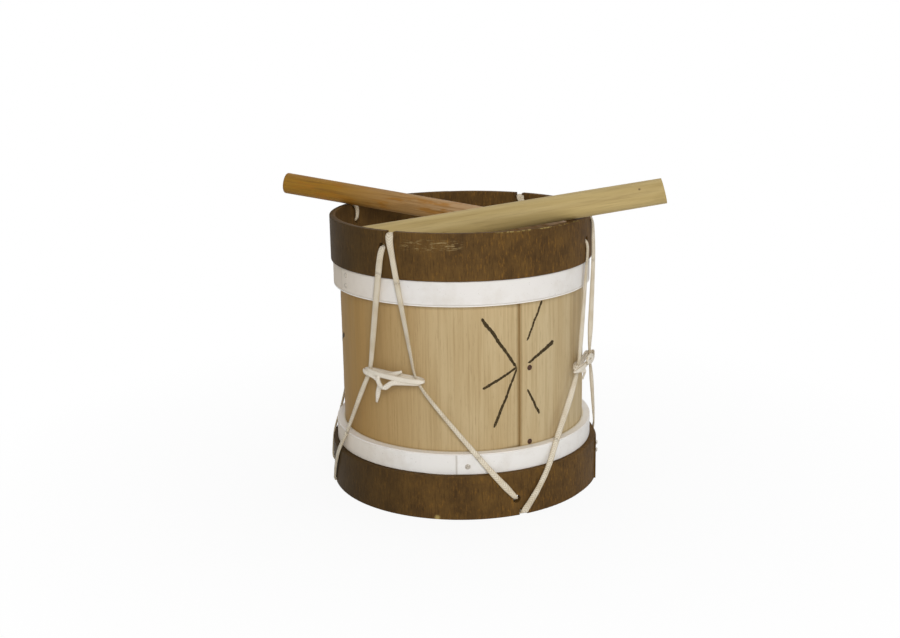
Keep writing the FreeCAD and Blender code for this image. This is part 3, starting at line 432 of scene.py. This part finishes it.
def pale_beech(tree, place):
    """A planed pale beech stick: straw colour with long faint streaks and one small dark knot."""
    axis, angle = RIGHT_STICK.rotation_difference(Vector((1, 0, 0))).to_axis_angle()
    level = add(tree, "VectorRotate", {"Vector": place, "Axis": axis, "Angle": angle})
    broad = add(tree, "Mapping", {"Vector": level, "Scale": (0.015, 0.22, 0.22)})
    tone = add(tree, "TexNoise", {"Vector": broad, "Scale": 1.0, "Detail": 3.0, "Roughness": 0.6})
    toned = add(tree, "MapRange", {"Value": tone, "From Min": 0.35, "From Max": 0.65, "To Max": 0.7})
    colour = add(tree, "Mix", {0: toned, 6: "#bfa871", 7: "#aa925c"}, 2, data_type="RGBA")
    grain = add(tree, "Mapping", {"Vector": level, "Scale": (0.03, 0.9, 0.9)})
    streak = add(tree, "TexNoise", {"Vector": grain, "Scale": 1.0, "Detail": 4.0, "Roughness": 0.62})
    streaked = add(tree, "MapRange", {"Value": streak, "From Min": 0.5, "From Max": 0.75, "To Max": 0.55})
    colour = add(tree, "Mix", {0: streaked, 6: colour, 7: "#8a7443"}, 2, data_type="RGBA")
    away = add(tree, "VectorMath", {0: place, 1: PIN_KNOT}, "Value", operation="DISTANCE")
    knot = add(tree, "MapRange", {"Value": away, "From Min": 0.4, "From Max": 1.2,
                                  "To Min": 0.75, "To Max": 0.0})
    colour = add(tree, "Mix", {0: knot, 6: colour, 7: "#5a4526"}, 2, data_type="RGBA")
    return {"Base Color": colour,
            "Roughness": add(tree, "MapRange", {"Value": streak, "To Min": 0.5, "To Max": 0.7}),
            "Specular IOR Level": 0.3,
            "Normal": add(tree, "Bump", {"Height": streak, "Distance": 0.12 * MM, "Strength": 0.3})}


def brushed_ink(tree, place):
    """Brushed ink, dry in places so that the ply shows through at 1 mm."""
    dry = add(tree, "TexNoise", {"Vector": place, "Scale": 0.8, "Detail": 3.0, "Roughness": 0.7})
    bare = add(tree, "MapRange", {"Value": dry, "From Min": 0.52, "From Max": 0.74, "To Max": 0.7})
    return {"Base Color": add(tree, "Mix", {0: bare, 6: "#3d3220", 7: "#7c6a44"}, 2, data_type="RGBA"),
            "Roughness": 0.7,
            "Specular IOR Level": 0.1,
            "Normal": add(tree, "Bump", {"Height": dry, "Distance": 0.03 * MM, "Strength": 0.3})}


# The finish of each node and of the laces
FINISHES = {
    "birch_ply": (birch_ply, ["shell"]),
    "stained_ply": (stained_ply, ["top_counter_hoop", "bottom_counter_hoop"]),
    "white_emulsion": (white_emulsion, ["top_flesh_hoop", "bottom_flesh_hoop"]),
    "rawhide": (rawhide, ["top_head", "bottom_head"]),
    "rusty_iron": (rusty_iron, ["shell_seam_nails", "top_counter_hoop_nails"]),
    "zinc_nail": (zinc_nail, ["bottom_counter_hoop_nails"]),
    "painted_nail": (painted_nail, ["top_flesh_hoop_nails", "bottom_flesh_hoop_nails"]),
    "orange_beech": (orange_beech, ["stick_left"]),
    "pale_beech": (pale_beech, ["stick_right"]),
}
for name, (build, dressed) in FINISHES.items():
    made = material(name, build)
    for node in dressed:
        nodes[node].data.materials.clear()
        nodes[node].data.materials.append(made)
COTTON = material("woven_cotton", woven_cotton)
INK = material("brushed_ink", brushed_ink)


# Laces

LACE_WIDTH = 4.6 * MM
LACE_THICKNESS = 1.3 * MM
# Heights of its middle in the top notches, in the bottom ones, above those and in the bottom holes
RIM_LACE = TOP_RIM - 1.7 * MM
GROUND_LACE = 1.3 * MM
ABOVE_NOTCH = 5.2 * MM
LOW_HOLE = 12.9 * MM
# Radii of its middle outside and inside each hoop, over the white strips and at the ties
TOP_OUT = 99.3 * MM
CREST_OUT = 99.7 * MM
TOP_INSIDE = 91.8 * MM
LOW_OUT = 102.8 * MM
LOW_INSIDE = 94.6 * MM
BAND_OUT = 99.1 * MM
STRAND_OUT = 97.4 * MM
# How far from a tie its strands start to turn in, and how far its ends lie above and below its middle
NEAR = 18 * MM
TILT = 1.1 * MM
# The length over which the lace swells and thins once, and the shares of its width and thickness
SWELL_LENGTH = 9 * MM
SWELL_WIDTH = 0.07
SWELL_THICKNESS = 0.1

# Azimuths of the bottom hoop's hole and notch, round the drum
LOW_STATIONS = [("back", 187.0, 190.5), ("left", 275.5, 282.5), ("front", 381.5, 384.6),
                ("right", 466.0, 469.5)]
# Azimuths of the top hoop's hole and notch, and the hole's drop below the rim
TOP_STATIONS = [("back_left", 240.8, 242.4, 14.0 * MM), ("front_left", 326.2, 329.9, 11.4 * MM),
                ("right", 428.0, 436.0, 17.2 * MM), ("back_right", 504.3, 509.8, 14.0 * MM)]
# Azimuths of the strands that each tie holds, and its height
TIES = [("tie_back_left", 228.0, 246.5, 100.5 * MM), ("tie_front_left", 317.3, 340.0, 102.3 * MM),
        ("tie_right", 421.0, 441.0, 96.9 * MM), ("tie_back_right", 499.0, 520.0, 100.5 * MM)]

# The lace at each corner of a bay, in the route's order: its width in mm and its turn in degrees
LIE = {
    "in_low_notch": (4.2, 0), "low_notch": (4.6, 0), "above_notch": (4.6, 0),
    "up_low_hoop": (4.6, 0), "up_low_rim": (4.4, 0), "up_band": (4.2, 0),
    "under_left": (4.2, 12), "left_tie": (3.4, 0), "over_left": (4.4, -12),
    "up_hoop_foot": (4.6, 0), "top_hole": (3.4, 0), "in_top_hole": (3.0, 0),
    "in_crest": (4.8, 0), "crest": (5.0, 0), "below_crest": (4.6, 0), "down_hoop_foot": (4.6, 0),
    "over_right": (4.2, 15), "right_tie": (3.4, 0), "under_right": (4.2, -15),
    "down_band": (4.2, 0), "down_low_rim": (4.4, 0), "down_low_hoop": (4.6, 0),
    "low_hole": (3.4, 0), "in_low_hole": (3.0, 0),
}
# What the photograph shows otherwise, with shifts in degrees of azimuth and mm of radius
SEEN = {
    "tie_back_left": {
        "in_top_hole": (3.2, 0, 1.6), "in_crest": (5.0, 0, -0.8),
        "under_right": (4.2, -15, -3.0, -2.5), "down_band": (4.2, 0, -5.6, -0.3),
        "down_low_rim": (4.4, 0, -4.6, -0.2), "down_low_hoop": (4.4, 0, -3.0, -0.2),
    },
    "tie_back_right": {"in_crest": (6.2, 0, -0.9), "crest": (6.4, 0, -0.9)},
    "tie_front_left": {
        "low_notch": (4.4, 0), "up_low_rim": (4.6, 0), "up_band": (3.2, 0),
        "under_left": (3.6, 20), "over_left": (5.0, 0), "up_hoop_foot": (5.4, 0),
        "top_hole": (5.2, 0), "in_top_hole": (3.4, 0),
        "in_crest": (5.8, 0), "crest": (6.2, 0), "below_crest": (4.4, 0),
        "over_right": (4.2, 38), "right_tie": (3.2, 60), "under_right": (3.0, 10),
        "down_band": (3.8, 0), "down_low_hoop": (5.0, 0),
    },
    "tie_right": {
        "in_low_notch": (5.4, 0), "low_notch": (5.8, 0, -0.8), "above_notch": (5.6, 0, -0.5),
        "up_low_hoop": (5.0, 0), "up_low_rim": (4.6, -4), "up_band": (4.8, -14),
        "under_left": (4.8, -36), "left_tie": (3.4, -10), "over_left": (4.6, -22),
        "below_crest": (4.6, 20, 0, 0.7), "down_hoop_foot": (4.6, 25, 0, 0.9),
        "over_right": (4.8, 48), "under_right": (4.6, 35, -1.4, 1.0),
        "down_band": (4.6, 25, -5.2, 2.4), "down_low_rim": (4.6, 10, -5.2, 0.6),
        "down_low_hoop": (4.6, 0, -3.0, 0.3),
    },
}


def polar(azimuth, radius, height):
    """The place at an azimuth, a distance from the drum's axis and a height."""
    angle = radians(azimuth)
    return Vector((radius * sin(angle), -radius * cos(angle), height))


def on_the_way(first, second, height):
    """Azimuth at a height on the straight way between two (azimuth, height) places."""
    return first[0] + (second[0] - first[0]) * (height - first[1]) / (second[1] - first[1])


def along_hoop(first, second, radius):
    """The corner between two (azimuth, height) places that keeps the lace off the hoop's curve."""
    away = radius / cos(radians(second[0] - first[0]) / 2)
    return (first[0] + second[0]) / 2, away, (first[1] + second[1]) / 2


def near_tie(far, held, held_out, rise):
    """The point at a rise from a tie on the strand that goes to a far (azimuth, radius, height)."""
    share = rise / (far[2] - held[1])
    return (held[0] + (far[0] - held[0]) * share, held_out + (far[1] - held_out) * share, held[1] + rise)


def bay(index):
    """The lace's corners in one bay: up from a bottom notch, over the rim and down to the next hole."""
    _, hole_top, notch_top, drop = TOP_STATIONS[index]
    _, _, notch_start = LOW_STATIONS[index]
    _, hole_end, _ = LOW_STATIONS[(index + 1) % len(LOW_STATIONS)]
    hole_end += 360 * (hole_end < notch_start)
    _, left, right, height = TIES[index]
    left_tie = (left, height + TILT)
    right_tie = (right, height - TILT)
    hole = TOP_RIM - drop
    start = (notch_start, GROUND_LACE)
    end = (hole_end, LOW_HOLE)
    rising = (on_the_way(start, left_tie, LOW_HOOP_TOP), LOW_HOOP_TOP)
    falling = (on_the_way(end, right_tie, LOW_HOOP_TOP), LOW_HOOP_TOP)
    up_band = (on_the_way(start, left_tie, LOW_BAND_TOP), BAND_OUT, LOW_BAND_TOP)
    down_band = (on_the_way(end, right_tie, LOW_BAND_TOP), BAND_OUT, LOW_BAND_TOP)
    up_hoop = (on_the_way((hole_top, hole), left_tie, TOP_HOOP_FOOT), TOP_OUT, TOP_HOOP_FOOT)
    down_hoop = (on_the_way((notch_top, RIM_LACE), right_tie, TOP_HOOP_FOOT), TOP_OUT, TOP_HOOP_FOOT)
    below_rim = RIM_LACE - NEAR
    return [
        (notch_start, LOW_INSIDE, GROUND_LACE),
        (notch_start, LOW_OUT, GROUND_LACE),
        (on_the_way(start, left_tie, ABOVE_NOTCH), LOW_OUT, ABOVE_NOTCH),
        along_hoop(start, rising, LOW_OUT),
        (rising[0], LOW_OUT, LOW_HOOP_TOP),
        up_band,
        near_tie(up_band, left_tie, STRAND_OUT, -NEAR),
        (left_tie[0], STRAND_OUT, left_tie[1]),
        near_tie(up_hoop, left_tie, STRAND_OUT, NEAR),
        up_hoop,
        (hole_top, TOP_OUT, hole),
        (hole_top, TOP_INSIDE, hole),
        (notch_top, TOP_INSIDE, RIM_LACE),
        (notch_top, CREST_OUT, RIM_LACE),
        (on_the_way((notch_top, RIM_LACE), right_tie, below_rim), TOP_OUT, below_rim),
        down_hoop,
        near_tie(down_hoop, right_tie, STRAND_OUT, NEAR),
        (right_tie[0], STRAND_OUT, right_tie[1]),
        near_tie(down_band, right_tie, STRAND_OUT, -NEAR),
        down_band,
        (falling[0], LOW_OUT, LOW_HOOP_TOP),
        along_hoop(falling, end, LOW_OUT),
        (hole_end, LOW_OUT, LOW_HOLE),
        (hole_end, LOW_INSIDE, LOW_HOLE),
    ]


def smooth_line(corners):
    """The points of the NURBS line that a given route makes."""
    curve = bpy.data.curves.new("route", "CURVE")
    curve.dimensions = "3D"
    curve.resolution_u = 10
    spline = curve.splines.new("NURBS")
    spline.points.add(len(corners) - 1)
    for point, place in zip(spline.points, corners):
        point.co = (*place, 1)
    spline.order_u = 3
    spline.use_endpoint_u = True
    carrier = bpy.data.objects.new("route", curve)
    line = bpy.data.meshes.new_from_object(carrier)
    points = [vertex.co.copy() for vertex in line.vertices]
    bpy.data.objects.remove(carrier)
    bpy.data.curves.remove(curve)
    bpy.data.meshes.remove(line)
    return points


def tangents(points):
    """The direction of the line at each of its points."""
    ends = range(len(points))
    return [(points[min(i + 1, ends[-1])] - points[max(i - 1, 0)]).normalized() for i in ends]


SECTION_POINTS = 14
# Powers of the superellipse that the section follows across and through
SECTION_POWERS = (0.55, 0.8)


def oval(angle):
    """A place on the lace's flat oval section, as shares of its width and thickness."""
    across = 0.5 * abs(cos(angle)) ** SECTION_POWERS[0] * (1 if cos(angle) > 0 else -1)
    return across, 0.5 * abs(sin(angle)) ** SECTION_POWERS[1] * (1 if sin(angle) > 0 else -1)


SECTION = [oval(2 * pi * (k + 0.5) / SECTION_POINTS) for k in range(SECTION_POINTS)]


def flat_lace(bm, line, ways, broads, sizes, runs, white=0.0):
    """Sweeps the section along a line into bm, by its broad direction, width and thickness there.

    The attribute lace holds the run and the place across it in mm, and how white the lace is.
    """
    layer = bm.verts.layers.float_vector.get("lace") or bm.verts.layers.float_vector.new("lace")
    rings = []
    for place, ahead, broad, (width, thick), run in zip(line, ways, broads, sizes, runs):
        broad = (broad - ahead * broad.dot(ahead)).normalized()
        through = ahead.cross(broad)
        ring = []
        for across, up in SECTION:
            vertex = bm.verts.new(place + broad * across * width + through * up * thick)
            vertex[layer] = (run / MM, across * LACE_WIDTH / MM, white)
            ring.append(vertex)
        rings.append(ring)
    for lower, upper in zip(rings, rings[1:]):
        for k in range(SECTION_POINTS):
            after = (k + 1) % SECTION_POINTS
            bm.faces.new((lower[k], lower[after], upper[after], upper[k]))
    bm.faces.new(reversed(rings[0]))
    bm.faces.new(rings[-1])


def new_piece(name, bm, finish):
    """The object of a finished mesh, with its material."""
    mesh = bpy.data.meshes.new(name)
    for face in bm.faces:
        face.smooth = len(face.verts) == 4
    bm.normal_update()
    bm.to_mesh(mesh)
    bm.free()
    mesh.materials.append(finish)
    piece = bpy.data.objects.new(name, mesh)
    bpy.context.scene.collection.objects.link(piece)
    return piece


def runs_of(line):
    """The length run along the line at each of its points."""
    runs = [0.0]
    for first, second in zip(line, line[1:]):
        runs.append(runs[-1] + (second - first).length)
    return runs


def around(place):
    """The direction round the drum at a place."""
    return Vector((-place.y, place.x, 0)).normalized()


def eased(low, high, value):
    """0 at low, 1 at high, smooth between."""
    t = min(1.0, max(0.0, (value - low) / (high - low)))
    return t * t * (3 - 2 * t)


# The knot inside the bottom hoop, where the lace's two ends meet
KNOT_AZIMUTH = LOW_STATIONS[0][1]
KNOT_RADIUS = 92.1 * MM
KNOT_PLACE = polar(KNOT_AZIMUTH, KNOT_RADIUS, LOW_HOLE)
# How far the first end reaches past it, and the radius where the last one comes to it
PAST_KNOT = 5.4 * MM
END_RADIUS = 96.5 * MM

corners = []
lies = []
for index, (tie_name, _, _, _) in enumerate(TIES):
    for (azimuth, radius, height), (corner, lie) in zip(bay(index), LIE.items()):
        width, turn, *shift = SEEN.get(tie_name, {}).get(corner, lie)
        azimuth_shift, radius_shift = (shift + [0, 0])[:2]
        corners.append(polar(azimuth + azimuth_shift, radius + radius_shift * MM, height))
        lies.append((width * MM, radians(turn)))
to_knot = (KNOT_PLACE - corners[0]).normalized()
corners = [KNOT_PLACE - to_knot * PAST_KNOT] + corners[:-1] + [polar(KNOT_AZIMUTH, END_RADIUS, LOW_HOLE)]
lies = [lies[0]] + lies

line = smooth_line(corners)
runs = runs_of(line)
ways = tangents(line)
broads = []
sizes = []
for i, (place, way) in enumerate(zip(line, ways)):
    # The corner, and the share of the way to the next, that this point of the line lies at
    at = i / (len(line) - 1) * (len(corners) - 2) + 0.5
    corner, share = int(at), at % 1
    width, turn = [a + (b - a) * share for a, b in zip(lies[corner], lies[corner + 1])]
    broad = around(place)
    broad = (broad - way * broad.dot(way)).normalized()
    broads.append(Matrix.Rotation(turn, 3, way) @ broad)
    swell = noise.noise(Vector((runs[i] / SWELL_LENGTH, 0, 0)))
    thick = LACE_THICKNESS * (LACE_WIDTH / width) ** 0.5
    sizes.append((width * (1 + SWELL_WIDTH * swell), thick * (1 - SWELL_THICKNESS * swell)))


def reach(place, index):
    """Which stretch of a bay a place is in: at the bottom, below its tie, above it or at the top."""
    if place.z < LOW_BAND_TOP:
        return "low"
    if place.z > TOP_HOOP_FOOT:
        return "top"
    return "below" if place.z < TIES[index][3] else "above"


# Split the lace into stretches at the hoops, which go with the drum, and stretches below and above each
# tie, which stay where they are
labels = []
bay_number = 0
for place in line:
    kind = reach(place, bay_number % len(TIES))
    if kind == "low" and ("top", bay_number) in labels:
        bay_number += 1
    labels.append((kind, bay_number))

# Each stretch's spans of the line, up to the first point of the next one
stretches = {}
for (kind, bay_number), span in groupby(range(len(line)), lambda i: labels[i]):
    span = list(span)
    stretches.setdefault((kind, bay_number % len(TIES)), []).append(slice(span[0], span[-1] + 2))

for (kind, index), spans in stretches.items():
    place_name = {"low": LOW_STATIONS, "top": TOP_STATIONS}.get(kind, TIES)[index][0]
    bm = bmesh.new()
    for span in spans:
        flat_lace(bm, line[span], ways[span], broads[span], sizes[span], runs[span])
    piece = new_piece("lace_%s_%s" % (kind, place_name), bm, COTTON)
    tie_name, _, _, tie_height = TIES[index]
    if kind == "below":
        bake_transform(piece)
    elif kind == "above":
        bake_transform(piece)
    else:
        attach(piece, "drum")
    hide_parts("lacing_cord")


# Ties

TIE_WIDTH = 4.0 * MM
TIE_THICKNESS = 1.15 * MM
# How white the ties are: partly their own colour, partly painted light against the shade between their
# windings
TIE_WHITE = 0.9
# The share by which it is pulled flat on the drum, and the length and amount of its swelling
TIE_FLAT = 0.35
TIE_SWELL_LENGTH = 8 * MM
TIE_SWELL = 0.08
# It pinches by a share where it bends, from the first radius down to the second
PINCH = 0.35
PINCH_RADII = (10 * MM, 2.5 * MM)
# The length over which a tail narrows, and the share of its width at its end
TAIL = 7 * MM
TAIL_END = 0.45
# The units of the routes below: past a strand, out from the strands, and up
TIE_TURN = 3.45 * MM
TIE_OUT = 2.1 * MM
TIE_STEP = 2.4 * MM
# Each corner: along the tie from -1 at its left strand to 1 at its right one, then past, out and up
TWO_WINDINGS = [
    (0.50, 0, 0.9, 2.4), (0.22, 0, 0.8, 1.1), (-0.15, 0, 0.8, 0.2), (-0.42, 0, 1.1, -0.1),
    (-0.42, 0, 2.4, -0.9), (-0.36, 0, 2.5, -2.4), (-0.20, 0, 2.4, -3.6), (-0.02, 0, 2.3, -2.6),
    (0.15, 0, 2.1, -1.2), (0.6, 0, 1.7, -0.6), (1, 1.15, 1.2, -0.3), (1, 1.15, -1.0, -0.2),
    (0, 0, -0.7, -0.2), (-1, -1.1, -1.0, 0.0), (-1, -1.1, 1.0, 0.3), (-0.55, 0, 1.9, 0.25),
    (0.1, 0, 2.0, 0.3), (0.6, 0, 1.9, 0.15), (1, 1.75, 1.7, 0.2), (1, 1.75, -1.5, 0.2),
    (0, 0, -1.3, 0.1), (-1, -1.7, -1.5, -0.3), (-1, -1.7, 1.4, -0.4), (-0.78, 0, 1.6, -0.6),
    (-0.58, 0, 1.2, -1.4), (-0.42, 0, 1.1, -2.8), (-0.54, 0, 1.1, -5.4), (-0.63, 0, 0.9, -8.9),
]
# The right tie ends in a tail past its left strand and one that hangs
LOOPED = [
    (-1.78, 0, 1.6, -1.0), (-1.4, 0, 2.0, -0.9), (-1.0, 0, 2.0, -0.3), (-0.5, 0, 1.5, 0.1),
    (0.2, 0, 1.2, 0.1), (1, 1.15, 1.2, 0.2), (1, 1.15, -1.0, 0.2), (0, 0, -0.7, 0.0),
    (-1, -1.1, -1.0, -0.2), (-1, -1.1, 1.0, -0.4), (-0.6, 0, 1.7, 0.0), (-0.2, 0, 2.4, 1.0),
    (-0.25, 0, 2.7, 2.1), (-0.6, 0, 2.8, 2.8), (-0.9, 0, 2.8, 1.9), (-0.75, 0, 2.6, 0.8),
    (-0.1, 0, 2.2, 0.1), (0.6, 0, 2.0, 0.6), (1, 1.6, 1.6, 1.1), (1, 1.75, -1.5, 0.5),
    (0, 0, -1.3, 0.3), (-1, -1.7, -1.5, -0.5), (-1, -1.75, 1.6, -0.9), (-0.85, 0, 1.9, -1.6),
    (-0.8, 0, 1.5, -3.0), (-0.95, 0, 1.3, -4.4),
]


def carried(line, first, flat=0.0):
    """Broad directions along a line that turn with it, pulled by a share to lie flat on the drum."""
    ways = tangents(line)
    broad = (first - ways[0] * first.dot(ways[0])).normalized()
    found = [broad]
    for place, before, after in zip(line[1:], ways, ways[1:]):
        broad = before.rotation_difference(after) @ broad
        on_drum = Vector((place.x, place.y, 0)).normalized().cross(after)
        broad += on_drum * (flat if on_drum.dot(broad) > 0 else -flat)
        broad = (broad - after * broad.dot(after)).normalized()
        found.append(broad)
    return found


def tie(name, left, right, height, route):
    """The short lace that is knotted round a pair of strands."""
    half = radians(right - left) / 2 * STRAND_OUT
    middle = (left + right) / 2
    corners = []
    for along, turns, out, up in route:
        distance = along * half + turns * TIE_TURN
        azimuth = middle + degrees(distance / STRAND_OUT)
        risen = height + up * TIE_STEP - distance / half * TILT
        corners.append(polar(azimuth, STRAND_OUT + out * TIE_OUT, risen))
    line = smooth_line(corners)
    runs = runs_of(line)
    ways = tangents(line)
    sizes = []
    for i, run in enumerate(runs):
        low, high = max(i - 2, 0), min(i + 2, len(line) - 1)
        bend = ways[low].angle(ways[high]) / (runs[high] - runs[low])
        pinch = 1 - PINCH * eased(1 / PINCH_RADII[0], 1 / PINCH_RADII[1], bend)
        swell = 1 + TIE_SWELL * noise.noise(Vector((run / TIE_SWELL_LENGTH, left, 0)))
        tail = TAIL_END + (1 - TAIL_END) * eased(0, TAIL, min(run, runs[-1] - run))
        sizes.append((TIE_WIDTH * pinch * swell * tail, TIE_THICKNESS / pinch))
    bm = bmesh.new()
    out = polar(middle, 1, 0)
    flat_lace(bm, line, ways, carried(line, out.cross(ways[0]), TIE_FLAT), sizes, runs, TIE_WHITE)
    piece = new_piece("lace_" + name, bm, COTTON)
    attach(piece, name)
    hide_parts(name)


for name, left, right, height in TIES:
    tie(name, left, right, height, LOOPED if name == "tie_right" else TWO_WINDINGS)


# Knot that joins the lace's ends inside the bottom hoop

KNOT_SIZE = 1.15 * MM
KNOT_STEPS = 72
# The lace's width and thickness where it is pulled tight in the knot
KNOT_LACE = (2.6 * MM, 1.8 * MM)


def lace_knot():
    """A trefoil of tight lace against the inside of the bottom hoop."""
    out = polar(KNOT_AZIMUTH, 1, 0)
    side = around(KNOT_PLACE)
    up = Vector((0, 0, 1))
    line = []
    for step in range(KNOT_STEPS + 1):
        t = 2 * pi * step / KNOT_STEPS
        across = sin(t) + 2 * sin(2 * t)
        rise = cos(t) - 2 * cos(2 * t)
        depth = -sin(3 * t)
        line.append(KNOT_PLACE + (side * across + up * rise * 0.9 + out * depth * 1.1) * KNOT_SIZE)
    bm = bmesh.new()
    flat_lace(bm, line, tangents(line), carried(line, out), [KNOT_LACE] * len(line), runs_of(line))
    piece = new_piece("lace_knot", bm, COTTON)
    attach(piece, "drum")
    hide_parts("lacing_knot")


lace_knot()


# Ornament: brushed strokes that make a six-ray star across the shell's seam

shell_surface = BVHTree.FromPolygons([v.co.copy() for v in nodes["shell"].data.vertices],
                                     [p.vertices[:] for p in nodes["shell"].data.polygons])
OUTSIDE = 120 * MM
INK_DEPTH = 0.07 * MM


def on_shell(azimuth, height):
    """The shell's outside at an azimuth and height, and the direction out of it."""
    out = polar(azimuth, 1, 0)
    hit = shell_surface.ray_cast(polar(azimuth, OUTSIDE, height), -out)
    return hit[0], out


# (azimuth, height in mm) of a stroke's ends, and its width in mm there
STAR = [
    ((8.5, 145.4), (24.6, 107.6), 2.7, 2.1),
    ((8.6, 94.3), (24.8, 107.4), 2.2, 1.8),
    ((13.5, 65.1), (25.0, 107.0), 2.4, 1.6),
    ((37.8, 153.3), (29.6, 126.1), 2.0, 1.6),
    ((45.1, 121.6), (30.1, 109.6), 3.6, 1.8),
    ((36.4, 70.0), (29.8, 90.2), 2.2, 1.6),
]


STROKE_STEPS = 56
# The stroke's section: shares of its width across, and of the ink's depth out of the shell
STROKE_SECTION = ((-0.5, -0.2), (-0.4, 1), (0, 1), (0.4, 1), (0.5, -0.2))
# How often along a stroke its width is ragged, and by what share; how often it wavers, and how far
RAGGED_TIMES = 26
RAGGED = 0.5
WAVER_TIMES = 5
WAVER = 0.5 * MM
# The share of its width that a stroke has at its ends, and how much more it gains over its length
TIP_WIDTH = 0.35
TIP_GAIN = 14


def star(name, turn, lift):
    """The star's strokes, a thin layer of ink that follows the shell."""
    bm = bmesh.new()
    corner_count = len(STROKE_SECTION)
    for number, (start, end, wide, narrow) in enumerate(STAR):
        near_end = polar(start[0] + turn, SHELL_RADIUS * MM, start[1] * MM)
        far_end = polar(end[0] + turn, SHELL_RADIUS * MM, end[1] * MM)
        ahead = (far_end - near_end).normalized()
        own_noise = number * 5 + turn
        rings = []
        for step in range(STROKE_STEPS + 1):
            share = step / STROKE_STEPS
            azimuth = start[0] + (end[0] - start[0]) * share + turn
            height = (start[1] + (end[1] - start[1]) * share) * MM + lift
            out = polar(azimuth, 1, 0)
            side = out.cross(ahead).normalized()
            ragged = 1 + RAGGED * noise.noise(Vector((share * RAGGED_TIMES, own_noise, 0)))
            waver = WAVER * noise.noise(Vector((share * WAVER_TIMES, own_noise, 9)))
            tip = min(1, min(share, 1 - share) * TIP_GAIN + TIP_WIDTH)
            width = (wide + (narrow - wide) * share) * MM * ragged * tip
            ring = []
            for across, rise in STROKE_SECTION:
                shift = side * (across * width + waver)
                around_step = degrees(shift.dot(around(out)) / (SHELL_RADIUS * MM))
                place, out_there = on_shell(azimuth + around_step, height + shift.z)
                ring.append(bm.verts.new(place + out_there * INK_DEPTH * rise))
            rings.append(ring)
        for lower, upper in zip(rings, rings[1:]):
            for k in range(corner_count):
                after = (k + 1) % corner_count
                bm.faces.new((lower[k], lower[after], upper[after], upper[k]))
        bm.faces.new(reversed(rings[0]))
        bm.faces.new(rings[-1])
    piece = new_piece(name, bm, INK)
    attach(piece, "drum")


star("ink_star_front", 0, 0)
star("ink_star_left", -118.4, -2.6 * MM)


# Studio

FLOOR_RADIUS = 6


def looked_at(tree):
    """1 for what the camera sees, also in a gloss or through glass, and 0 for what only gives light."""
    path = add(tree, "LightPath").node.outputs
    seen = add(tree, "Math", {0: path["Is Camera Ray"], 1: path["Is Glossy Ray"]}, operation="MAXIMUM")
    return add(tree, "Math", {0: seen, 1: path["Is Transmission Ray"]}, operation="MAXIMUM")


def white_paper(tree):
    """White paper: pure white to the camera far off, and shaded by the drum near it."""
    away = add(tree, "VectorMath", {0: add(tree, "TexCoord", out="Object")}, "Value", operation="LENGTH")
    share = add(tree, "MapRange", {"Value": away, "From Min": 0.12, "From Max": 0.42,
                                   "To Min": 0.92, "To Max": 1.0})
    white = add(tree, "Math", {0: looked_at(tree), 1: share}, operation="MULTIPLY")
    matt = add(tree, "BsdfDiffuse", {"Color": "#eeeeee"})
    plain = add(tree, "Emission", {"Color": "#ffffff", "Strength": 1.0})
    return add(tree, "MixShader", {0: white, 1: matt, 2: plain})


def studio_floor():
    """A plain white floor under the drum."""
    bm = bmesh.new()
    bmesh.ops.create_circle(bm, cap_ends=True, segments=96, radius=FLOOR_RADIUS)
    mesh = bpy.data.meshes.new("studio_floor")
    bm.to_mesh(mesh)
    bm.free()
    floor = bpy.data.objects.new("studio_floor", mesh)
    bpy.context.scene.collection.objects.link(floor)
    paper = bpy.data.materials.new("white_paper")
    paper.use_nodes = True
    paper.node_tree.nodes.clear()
    add(paper.node_tree, "OutputMaterial", {"Surface": white_paper(paper.node_tree)})
    mesh.materials.append(paper)


def studio_light():
    """Soft light from all round, white where it is seen, and three lamps."""
    world = bpy.data.worlds.new("studio")
    world.use_nodes = True
    bpy.context.scene.world = world
    tree = world.node_tree
    tree.nodes.clear()
    soft = add(tree, "Background", {"Color": "#ffffff", "Strength": 0.3})
    white = add(tree, "Background", {"Color": "#ffffff", "Strength": 1.0})
    mixed = add(tree, "MixShader", {0: looked_at(tree), 1: soft, 2: white})
    add(tree, "OutputWorld", {"Surface": mixed})
    soft_box("key", (0.12, -1.45, 0.8), (0, 0, 0.1), 0.65, 13)
    soft_box("right", (1.3, -0.2, 0.5), (0, 0, 0.1), 0.8, 2)
    soft_box("top", (0.1, 0.5, 1.4), (0, 0, 0.15), 1.0, 4)


photo_camera()
studio_floor()
studio_light()
bpy.context.scene.view_settings.view_transform = "Standard"
